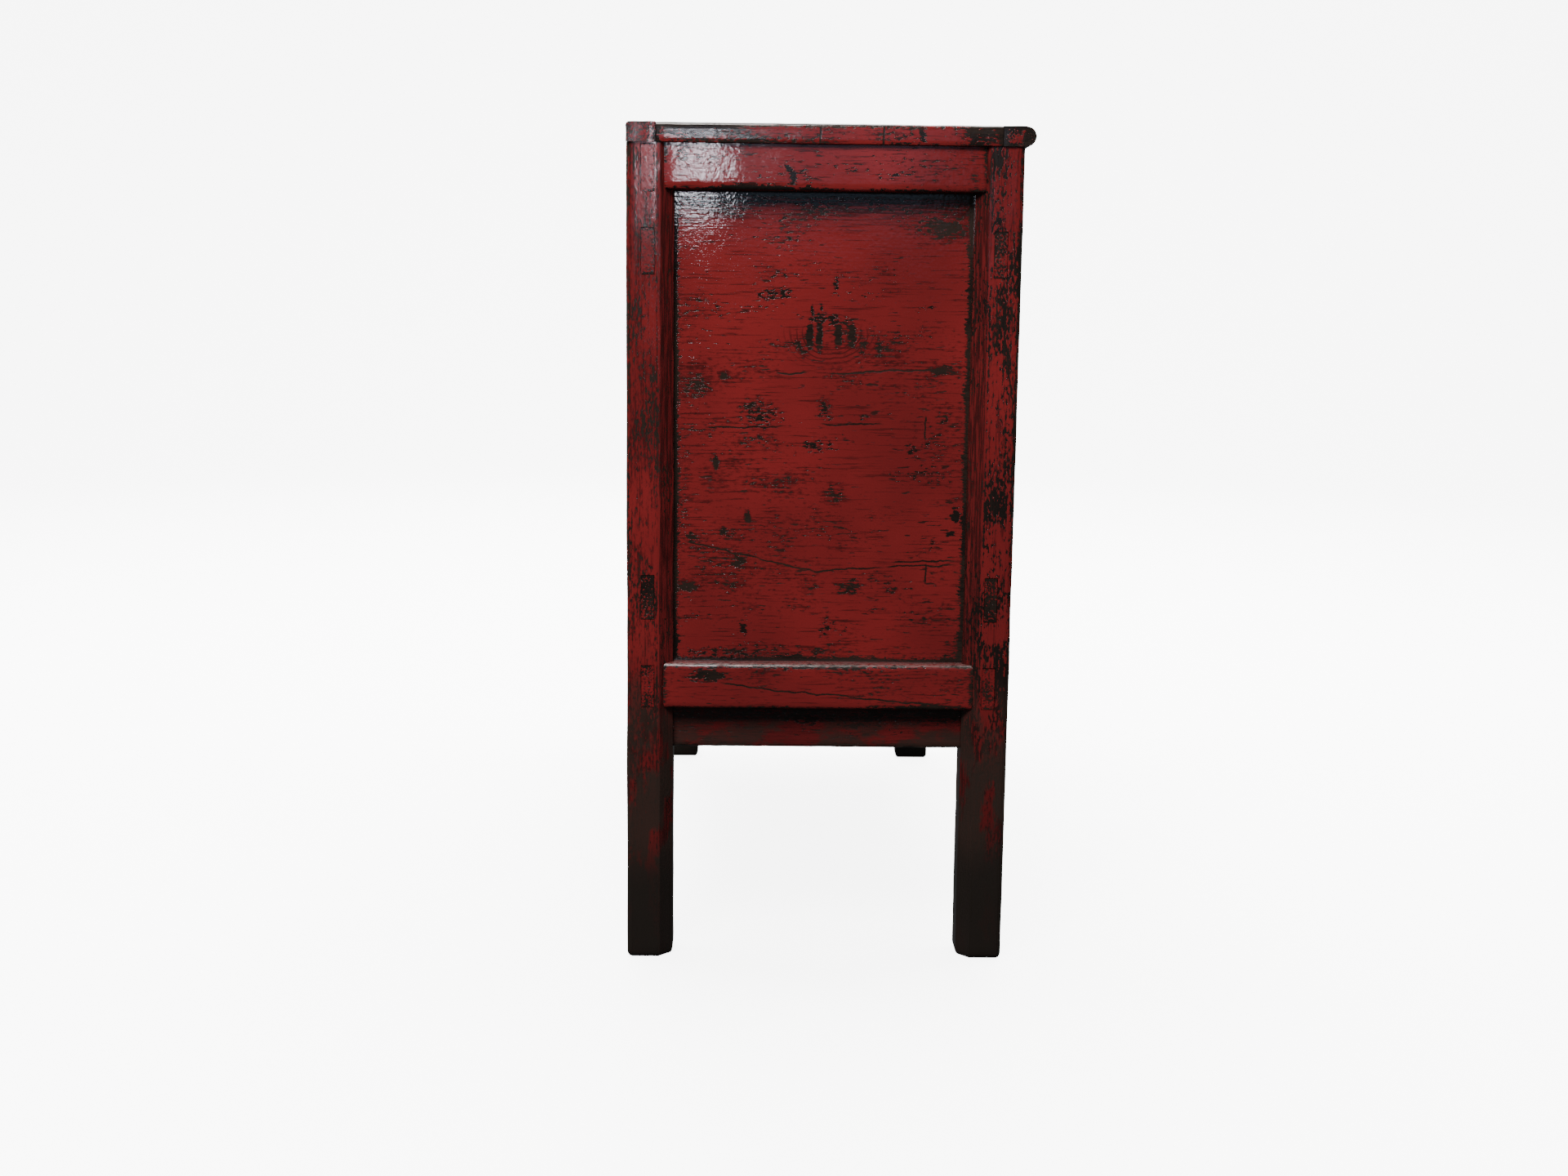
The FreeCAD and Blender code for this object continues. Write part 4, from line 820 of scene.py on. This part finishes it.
PANEL_CRACKS = (((5, 621), (-138, 628)), ((130, 565), (40, 566)), ((10, 569), (-60, 571)),
                ((-66, 426), (-140, 429)), ((-60, 421), (-140, 424)), ((-100, 580), (-101, 552)),
                ((-104, 426), (-104, 402)), ((56, 622), (20, 622)), ((150, 447), (60, 427)),
                ((75, 430), (5, 414)), ((20, 415), (-65, 421)))
PANEL_KNOT = ((-2, 664), 12, 46)
LACQUER_PANEL = lacquer("red_lacquer_panel", Y, wear=0.01, grime=4.5 * MM, cracks=PANEL_CRACKS,
                        knot=PANEL_KNOT, polish=0.01, dull=0.02)


def end_panel(end_name):
    """The panel of one end, with the scars and cracks if it is the left one."""
    node = "side_panel_" + end_name
    low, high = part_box(node)
    piece = block(node + "_worn", low, high)
    grid(piece, (Y, Z), PANEL_CELL)
    planed(piece, PANEL_WAVES)
    at = points_of(piece)
    opening_low = (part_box("post_front_" + end_name)[1].y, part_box("side_bottom_rail_" + end_name)[1].z)
    opening_high = (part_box("post_back_" + end_name)[0].y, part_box("side_top_rail_" + end_name)[0].z)
    across = at[:, Y:]
    inside = np.minimum(across - np.array(opening_low), np.array(opening_high) - across).min(axis=1)
    mark(piece, "arris", np.clip(inside, 0, None))
    mark(piece, "scar", scars(at, PANEL_SCARS) * (end_name == "left"))
    # Painted shade under the top rail: full for 16 mm below it, fading out by 38 mm.
    under_rail = opening_high[1] - at[:, Z]
    mark(piece, "painted_shade", PANEL_SHADE * np.clip((PANEL_SHADE_REACH - under_rail) / PANEL_SHADE_FADE, 0, 1))
    dress(piece, LACQUER_PANEL, "case", node)


for end_name in ENDS:
    end_panel(end_name)

# %% [markdown]
# Plain timbers and the end aprons
#
# The apron under each end is a plain board with its lower edge eased. It sits back under the bottom rail, so
# painted shade darkens its upper half, with grime, and the whole board a little. Many more pieces are no more
# than that: a block, some rounded edges, plane marks and wear. So one function makes them all.

# %% Plain timbers and end aprons
TIMBER_WAVES = ((0.9 * MM, 80 * MM), (0.2 * MM, 15 * MM))
TIMBER_RUB = 1.4 * MM
APRON_ROUND = 2.5 * MM
# Painted shade under the bottom rail: a band of scars along the apron's top, with grime, and a light
# darkening of the whole board.
APRON_SHADE_AND_GRIME = [(0, 266, 400, 12, 0.6)]
APRON_PAINTED_SHADE = 0.25
LACQUER_APRON = lacquer("red_lacquer_apron", Y, wear=0.05, low=True)


def plain_timber(node, material, body, low=None, high=None, rounds=(), waves=1.0, spots=(),
                 sheltered_below=0):
    """A squared timber in its node's box, or in a part of it, with chosen edges rounded."""
    node_low, node_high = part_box(node)
    low, high = low or node_low, high or node_high
    piece = block(node + "_worn", low, high)
    for test, width, segments in rounds:
        bevel(piece, test, width, segments)
    grid(piece, (X, Y, Z))
    planed(piece, [(depth * waves, size) for depth, size in TIMBER_WAVES])
    rubbed_low = Vector((low.x, low.y, low.z - sheltered_below))
    rub(piece, from_box_edges(points_of(piece), rubbed_low, high), TIMBER_RUB * waves)
    at = points_of(piece)
    mark(piece, "arris", from_box_edges(at, rubbed_low, high))
    mark(piece, "scar", scars(at, spots))
    return dress(piece, material, body, node)


for end_name in ENDS:
    apron_node = "side_apron_" + end_name
    apron_low, apron_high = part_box(apron_node)
    apron_face = apron_low.x if end_name == "left" else apron_high.x
    end_apron = plain_timber(apron_node, LACQUER_APRON, "case", spots=APRON_SHADE_AND_GRIME,
                             rounds=[(along(Y, x=apron_face, z=apron_low.z), APRON_ROUND, 2)])
    # Painted shade over the whole apron, which sits back in the shade of the bottom rail.
    mark(end_apron, "painted_shade", [APRON_PAINTED_SHADE] * len(end_apron.data.vertices))

# %% [markdown]
# The top
#
# A frame with boards in it: the front rail is a full bullnose, two end caps and a back rail close the frame.
# A bullnose is only two bevels of half the thickness on the two front edges. A hair of flat stays between
# them, because two bevels that meet would run into each other.

# %% Frame of the top
BULLNOSE_FLAT = 0.2 * MM
BACK_ROUND = 4 * MM
CAP_ROUND = 3 * MM
CAP_UNDER_ROUND = 1 * MM
CAP_GAP = 0.3 * MM
CAP_SCARS = {"left": [(-90, 860, 2, 7, 1.4), (-150, 860, 20, 14, 0.6), (135, 865, 45, 9, 0.85),
                      (60, 853, 60, 3, 0.6)], "right": []}
CAP_CRACKS = (((13, 885), (13, 835), 0.5 * MM, 1.6 * MM), ((-50, 885), (-50, 835), 0.5 * MM, 1.6 * MM))
LACQUER_CAP = lacquer("red_lacquer_cap", Y, wear=0.19, cracks=CAP_CRACKS)
LACQUER_TOP = lacquer("red_lacquer_top", X, wear=0.08)
LACQUER_NOSING = lacquer("red_lacquer_nosing", X, wear=0.20)
nosing_low, nosing_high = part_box("top_front_nosing")
back_low, back_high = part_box("top_back_rail")
bullnose = (nosing_high.z - nosing_low.z) / 2 - BULLNOSE_FLAT
plain_timber("top_front_nosing", LACQUER_NOSING, "case", rounds=[(along(X, y=nosing_low.y), bullnose, 5)],
             spots=[(-190, 862, 22, 14, 0.4)])
plain_timber("top_back_rail", LACQUER_TOP, "case",
             rounds=[(along(X, y=back_high.y, z=back_high.z), BACK_ROUND, 3)])
for end_name in ENDS:
    cap_node = "top_end_cap_" + end_name
    cap_low, cap_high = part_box(cap_node)
    cap_low.y, cap_high.y = nosing_high.y + CAP_GAP, back_low.y - CAP_GAP
    cap_end = cap_low.x if end_name == "left" else cap_high.x
    plain_timber(cap_node, LACQUER_CAP, "case", cap_low, cap_high, spots=CAP_SCARS[end_name],
                 rounds=[(along(Y, x=cap_end, z=cap_high.z), CAP_ROUND, 3),
                         (along(Y, x=cap_end, z=cap_low.z), CAP_UNDER_ROUND, 2)],
                 sheltered_below=SHELTERED)

# %% [markdown]
# Boards in the top
#
# Two boards fill the frame, a seam apart, because wood swells and shrinks across its grain. The lacquer wears
# along the seam too, so it counts as an arris.

# %% Boards of the top
SEAM_HALF = 0.3 * MM
BOARD_CELL = 8 * MM
BOARD_WAVE = (1.4 * MM, 120 * MM)
field_low = Vector((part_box("top_end_cap_left")[1].x, nosing_high.y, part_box("top_boards")[0].z))
field_high = Vector((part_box("top_end_cap_right")[0].x, back_low.y, back_high.z))
board_seam = (field_low.y + field_high.y) / 2
boards = gather([block("top_boards_worn", field_low, (field_high.x, board_seam - SEAM_HALF, field_high.z)),
                 block("back_board", (field_low.x, board_seam + SEAM_HALF, field_low.z), field_high)])
grid(boards, (X, Y), BOARD_CELL)
hewn(boards, *BOARD_WAVE)
board_points = points_of(boards)
to_seam = np.abs(board_points[:, Y] - board_seam)
mark(boards, "arris", np.minimum(to_seam, from_box_edges(board_points, field_low, field_high)))
dress(boards, LACQUER_TOP, "case", "top_boards")

# %% [markdown]
# Front and back rails
#
# Each long rail runs between two posts, and its tenons pass through them. Two of the front rails also carry a
# lip that the doors close against: a small block added to the rail, as it is planted on the real one.

# %% Long rails
EASED = 2 * MM
LONG_CELL = 7 * MM
LONG_WAVE = (1.0 * MM, 60 * MM)
LONG_RUB = 1.3 * MM
TENON_CELL = 4 * MM
LIP_DEPTH = 13.5 * MM
LIP_SUNK = 1 * MM
TENON_SCARS = {
    "front_drawer_rail": [(-170, 742, 14, 44, 0.6)], "front_sill_rail": [(-171, 388, 16, 44, 1.0)],
    "back_drawer_rail": [(185, 745, 12, 44, 0.55)], "back_sill_rail": [(185, 390, 14, 44, 0.8)],
    "front_bottom_rail": [(-171, 290, 8, 30, 0.7)], "back_bottom_rail": [(185, 290, 8, 30, 0.7)],
}


def long_rail(node):
    """A rail from post to post, with a through tenon at each end."""
    front = node in FRONT_RAILS
    side = "front" if front else "back"
    left_post, right_post = f"post_{side}_left", f"post_{side}_right"
    low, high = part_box(node)
    low.x, high.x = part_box(left_post)[1].x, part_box(right_post)[0].x
    low.z, high.z = rail_heights(node)
    face_y = low.y if front else high.y
    piece = block(node + "_worn", low, high)
    bevel(piece, along(X, y=face_y), EASED, 2)
    grid(piece, (X, Y, Z), LONG_CELL)
    hewn(piece, *LONG_WAVE)
    rub(piece, from_box_edges(points_of(piece), low, high), LONG_RUB)
    extra = [tenon_block(node, post_node, front, 0) for post_node in (left_post, right_post)]
    for tenon in extra:
        grid(tenon, (Y, Z), TENON_CELL)
    if node in RAIL_LIPS:
        z_low, z_high = high.z - LIP_SUNK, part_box(node)[1].z
        if RAIL_LIPS[node][0]:
            z_low, z_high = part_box(node)[0].z, low.z + LIP_SUNK
        extra.append(block("lip", (low.x, high.y - LIP_DEPTH, z_low), (high.x, high.y, z_high)))
    combine(piece, extra, "UNION")
    at = points_of(piece)
    mark(piece, "arris", from_box_edges(at, low, high))
    mark(piece, "scar", scars(at, TENON_SCARS.get(node, [])) * (at[:, X] < low.x - MM))
    dress(piece, LACQUER[X], "case", node)


for node in FRONT_RAILS + BACK_RAILS:
    long_rail(node)

# %% [markdown]
# Boards between the rails
#
# Thin boards sit in the grooves of posts and rails, one in front under the doors and three at the back. Their
# own edges are out of sight, so what they remember is the edge of the opening that they fill, where grime
# gathers.

# %% Panels in their openings
FIELD_CELL = 6 * MM
FIELD_WAVE = (0.9 * MM, 90 * MM)
FIELD_RAILS = {
    "front_waist_panel": [("front_bottom_rail", "front_sill_rail")],
    "back_main_panel": [("back_sill_rail", "back_drawer_rail")],
    "back_narrow_panels": [("back_bottom_rail", "back_sill_rail"), ("back_drawer_rail", "back_top_rail")],
}
LACQUER_BACK = lacquer("red_lacquer_back", X, wear=0.12, grime=14 * MM)


def field_panel(node, material, body, opening_x, openings_z):
    """Thin boards in one node's box, one for each opening, which reach into the grooves round it."""
    low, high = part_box(node)
    reach = openings_z[0][0] - low.z
    piece = gather([block(node + "_worn", (low.x, low.y, bottom - reach), (high.x, high.y, top + reach))
                    for bottom, top in openings_z])
    grid(piece, (X, Z), FIELD_CELL)
    hewn(piece, *FIELD_WAVE)
    at = points_of(piece)
    left, right = opening_x
    from_sides = np.minimum(at[:, X] - left, right - at[:, X])
    from_rails = np.max([np.minimum(at[:, Z] - bottom, top - at[:, Z]) for bottom, top in openings_z], axis=0)
    mark(piece, "arris", np.clip(np.minimum(from_sides, from_rails), 0, None))
    dress(piece, material, body, node)


case_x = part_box("post_front_left")[1].x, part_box("post_front_right")[0].x
for node, pairs in FIELD_RAILS.items():
    openings = [(rail_heights(lower)[1], rail_heights(upper)[0]) for lower, upper in pairs]
    field_panel(node, LACQUER_BACK, "case", case_x, openings)

# %% [markdown]
# The front apron
#
# Its lower edge rises from each leg in an ogee. It starts as a plain board that is cut into narrow columns,
# and each column is then squeezed towards the top edge by its own amount. So every cell keeps four sides.

# %% Front apron
SPANDREL_LONG = 74 * MM
SPANDREL_RISE = 22 * MM
LACQUER_FRONT_APRON = lacquer("red_lacquer_front_apron", X, wear=0.12)
board_low, board_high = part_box("front_apron")


def apron_edge(x):
    """Height of the lower edge: an ogee up from each leg, and straight between the two."""
    run = np.clip((case_x[1] - np.abs(x) - SPANDREL_RISE) / (SPANDREL_LONG - SPANDREL_RISE), 0, 1)
    return board_low.z + SPANDREL_RISE * run * run * (3 - 2 * run)


apron = block("front_apron_worn", board_low, board_high)
bevel(apron, along(X, y=board_low.y, z=board_low.z), EASED, 2)
grid(apron, (X, Z))
across = np.sort(points_of(apron)[:, X])
for column in across[np.diff(across, prepend=-1) > MM]:
    share = (board_high.z - apron_edge(column)) / (board_high.z - board_low.z)
    with chosen(apron, "POINT", lambda p: np.abs(p[:, X] - column) < SAME_PLACE):
        bpy.ops.transform.resize(value=(1, 1, share), center_override=(column, 0, board_high.z))
hewn(apron, *LONG_WAVE)
apron_points = points_of(apron)
mark(apron, "arris", np.clip(apron_points[:, Z] - apron_edge(apron_points[:, X]), 0, None))
dress(apron, LACQUER_FRONT_APRON, "case", "front_apron")

# %% [markdown]
# Drawer fronts
#
# A short upright parts the two drawers. Drawers and doors move, with gaps of a millimetre and a half round
# them, so these faces are planed flatter than the frame: a wave would close the gap.

# %% Divider and drawer fronts
DIVIDER_WAVES = 0.6
FRONT_WAVES = 0.35
LACQUER_FRONT = lacquer("red_lacquer_front", X, wear=0.02)
divider_low, divider_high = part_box("drawer_divider")
divider_low.z, divider_high.z = rail_heights("front_drawer_rail")[1], UNDER_TOP
plain_timber("drawer_divider", LACQUER[Z], "case", divider_low, divider_high,
             rounds=[(along(Z, y=divider_low.y), EASED, 2)], waves=DIVIDER_WAVES)
for end_name in ENDS:
    front_node = "drawer_front_" + end_name
    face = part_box(front_node)[0].y
    plain_timber(front_node, LACQUER_FRONT, "drawer_" + end_name, waves=FRONT_WAVES,
                 rounds=[(lambda a, b: np.maximum(a[:, Y], b[:, Y]) < face + SAME_PLACE, EASED, 2)])

# %% [markdown]
# Doors
#
# A door is two stiles and two rails round a panel. Its hinge stile is half round, because it turns on pivots
# in line with the middle of the round, and a square edge would bind in the case. One cylinder through the
# whole stile makes both pivots.

# %% Doors
STILE_ROUND = 1.5 * MM
HINGE_FLAT = 0.2 * MM
HINGE_WAVES = 0.3
PIVOT_RADIUS = 6 * MM
LACQUER_STILE = lacquer("red_lacquer_stile", Z, wear=0.02)
LACQUER_DOOR_PANEL = lacquer("red_lacquer_door_panel", Z, grime=12 * MM)

for end_name in ENDS:
    body, left = "door_" + end_name, end_name == "left"
    meeting_node, hinge_node = "door_meeting_stile_" + end_name, "door_hinge_stile_" + end_name
    meeting_low, meeting_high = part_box(meeting_node)
    hinge_low, hinge_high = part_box(hinge_node)
    pivot_tip, pivot_top = hinge_low.z, hinge_high.z
    hinge_low.z, hinge_high.z = meeting_low.z, meeting_high.z
    hinge_x = hinge_low.x if left else hinge_high.x
    radius = (hinge_high.y - hinge_low.y) / 2
    plain_timber(meeting_node, LACQUER_STILE, body, waves=FRONT_WAVES,
                 rounds=[(along(Z, y=meeting_low.y), STILE_ROUND, 2)])
    stile = plain_timber(hinge_node, LACQUER_STILE, body, hinge_low, hinge_high, waves=HINGE_WAVES,
                         rounds=[(along(Z, x=hinge_x), radius - HINGE_FLAT, 6)])
    axis_x = hinge_x + (radius if left else -radius)
    bpy.ops.mesh.primitive_cylinder_add(vertices=32, radius=PIVOT_RADIUS, depth=pivot_top - pivot_tip,
                                        location=(axis_x, hinge_low.y + radius, (pivot_top + pivot_tip) / 2))
    pivot = bpy.context.object
    bpy.ops.object.transform_apply()
    combine(stile, [pivot], "UNION")

    inner_x = (hinge_high.x, meeting_low.x) if left else (meeting_high.x, hinge_low.x)
    for rail_name in ("top", "bottom"):
        rail_node = f"door_{rail_name}_rail_{end_name}"
        rail_low, rail_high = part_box(rail_node)
        rail_low.x, rail_high.x = inner_x
        plain_timber(rail_node, LACQUER_FRONT, body, rail_low, rail_high, waves=FRONT_WAVES,
                     rounds=[(along(X, y=rail_low.y), STILE_ROUND, 2)])
    door_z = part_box("door_bottom_rail_" + end_name)[1].z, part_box("door_top_rail_" + end_name)[0].z
    field_panel("door_panel_" + end_name, LACQUER_DOOR_PANEL, body, inner_x, [door_z])

# %% [markdown]
# What stays as it was built
#
# The inside of the case, the drawer boxes with their dovetails and the brass plates have the right shape
# already. They keep their own meshes and only get a finish.

# %% Finishes for the carried-over pieces
CARRIED_OVER = (
    (BRASS, ("drawer_plate", "door_plate", "drawer_pull", "door_pull")),
    (WOOD[X], ("drawer_back", "drawer_bottom", "floor_boards")),
    (WOOD[Y], ("drawer_outer_side", "drawer_inner_side", "drawer_runners", "top_battens")),
)
for name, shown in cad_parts.items():
    finish = next((m for m, starts in CARRIED_OVER if name.startswith(starts)), None)
    if finish and not shown.hide_render:
        shown.data.materials.clear()
        shown.data.materials.append(finish)
print("carried over", sorted(n for n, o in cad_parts.items() if not o.hide_render))

# %% [markdown]
# Floor
#
# A pale round sweep, floor and wall in one sheet, keeps the setting plain from every side. It starts as a
# disc: its rim is pulled up into a wall, and a broad bevel turns the corner between the two into a curve.

# %% Floor
SWEEP_RADIUS = 8.0
SWEEP_RISE = 3.0
WALL_TALL = 7.0
FLOOR_PALE = (0.80, 0.80, 0.80, 1)
FLOOR_PALER = (0.84, 0.84, 0.84, 1)
FLOOR_GLOW = 6.0
bpy.ops.mesh.primitive_circle_add(vertices=96, radius=SWEEP_RADIUS, fill_type="NGON")
sweep = bpy.context.object
sweep.name = "pale_sweep"
with chosen(sweep, "EDGE", lambda a, b: np.hypot(a[:, X], a[:, Y]) > 0.9 * SWEEP_RADIUS):
    bpy.ops.mesh.extrude_region_move(TRANSFORM_OT_translate={"value": (0, 0, WALL_TALL)})
bevel(sweep, lambda a, b: np.maximum(a[:, Z], b[:, Z]) < MM, SWEEP_RISE, 12)
floor = Finish("pale_floor")
floor_tone = floor.noise(floor.place(), 3, 3)
floor_colour = floor.mix(floor_tone, FLOOR_PALE, FLOOR_PALER)
sweep.data.materials.append(floor.surface(floor_colour, 0.7 + 0.1 * floor_tone, floor_tone, MM,
                                          Emission_Color=(1, 1, 1, 1), Emission_Strength=FLOOR_GLOW))
hold(sweep)
bpy.ops.object.shade_smooth()
sweep.visible_diffuse = False
sweep.visible_glossy = False

# %% [markdown]
# Light
#
# The main light is a wide soft one high in front of the end, so the rails throw short shadows on the panel. A
# broad cool lamp behind the camera lifts the dark parts, and a small one beside it glints in the varnish near
# the top. Three more light the other sides, and two keep floor and wall bright.

# %% Lights
WORLD_GLOW = 0.05


def soft_light(name, place, toward, size, watts, colour=(1, 1, 1)):
    """A rectangular lamp at a place, turned toward a point."""
    data = bpy.data.lights.new(name, "AREA")
    data.shape = "RECTANGLE"
    data.size, data.size_y = size
    data.energy = watts
    data.color = colour
    lamp = bpy.data.objects.new(name, data)
    bpy.context.scene.collection.objects.link(lamp)
    lamp.location = place
    lamp.rotation_euler = (Vector(toward) - Vector(place)).to_track_quat("-Z", "Y").to_euler()
    lamp.visible_camera = False


soft_light("overhead_soft", (-2.15, 0.6, 2.65), (-0.4, 0.0, 0.5), (1.2, 1.2), 118, (1.0, 0.97, 0.94))
soft_light("camera_fill", (-3.6, 0.5, 1.4), (-0.45, 0, 0.75), (2.0, 1.0), 3.2, (0.50, 0.70, 1.0))
soft_light("glint_lamp", (-2.34, 0.20, 0.975), (-0.45, 0.13, 0.82), (0.045, 0.13), 1.25, (0.90, 0.90, 1.0))
side_lamps = {"front": (0.8, -3.0, 2.4), "back": (0.8, 3.0, 2.4), "right": (3.2, 0.5, 2.9)}
for side_name, side_place in side_lamps.items():
    soft_light(side_name + "_soft", side_place, (0.1, 0, 0.5), (1.6, 1.6), 80)
soft_light("backdrop_wash", (2.2, 0, 4.6), (5.0, 0, 0.8), (4.0, 6.0), 900)
soft_light("floor_wash", (1.6, 0, 4.4), (1.2, 0, 0), (3.0, 5.0), 420)
world = bpy.context.scene.world or bpy.data.worlds.new("studio")
bpy.context.scene.world = world
world.use_nodes = True
background = world.node_tree.nodes["Background"].inputs
background["Color"].default_value = (1, 1, 1, 1)
background["Strength"].default_value = WORLD_GLOW
print("lamps", [light.name for light in bpy.data.lights])

# %% [markdown]
# Camera
#
# The camera stands where the end was seen from and looks slightly down. Its three axes are worked out from
# its angles and become the columns of its matrix.

# %% Camera
LENS_MM = 42.13
SENSOR_MM = 36
CAMERA_PLACE = (-2.3345, 0.0756, 0.6993)
YAW, PITCH, ROLL = -0.0168, 0.1575, 0.012
level = Vector((math.cos(YAW), math.sin(YAW), 0))
ahead = level * math.cos(PITCH) - Vector((0, 0, math.sin(PITCH)))
above = Vector((0, 0, math.cos(PITCH))) + level * math.sin(PITCH)
sideways = Vector((math.sin(YAW), -math.cos(YAW), 0))
right = sideways * math.cos(ROLL) + above * math.sin(ROLL)
upward = above * math.cos(ROLL) - sideways * math.sin(ROLL)
camera_data = bpy.data.cameras.new("camera")
camera_data.lens = LENS_MM
camera_data.sensor_width = SENSOR_MM
camera = bpy.data.objects.new("camera", camera_data)
bpy.context.scene.collection.objects.link(camera)
turned = Matrix((right, upward, -ahead)).transposed().to_4x4()
camera.matrix_world = Matrix.Translation(CAMERA_PLACE) @ turned
bpy.context.scene.camera = camera
print("camera looks along", [round(v, 3) for v in ahead])
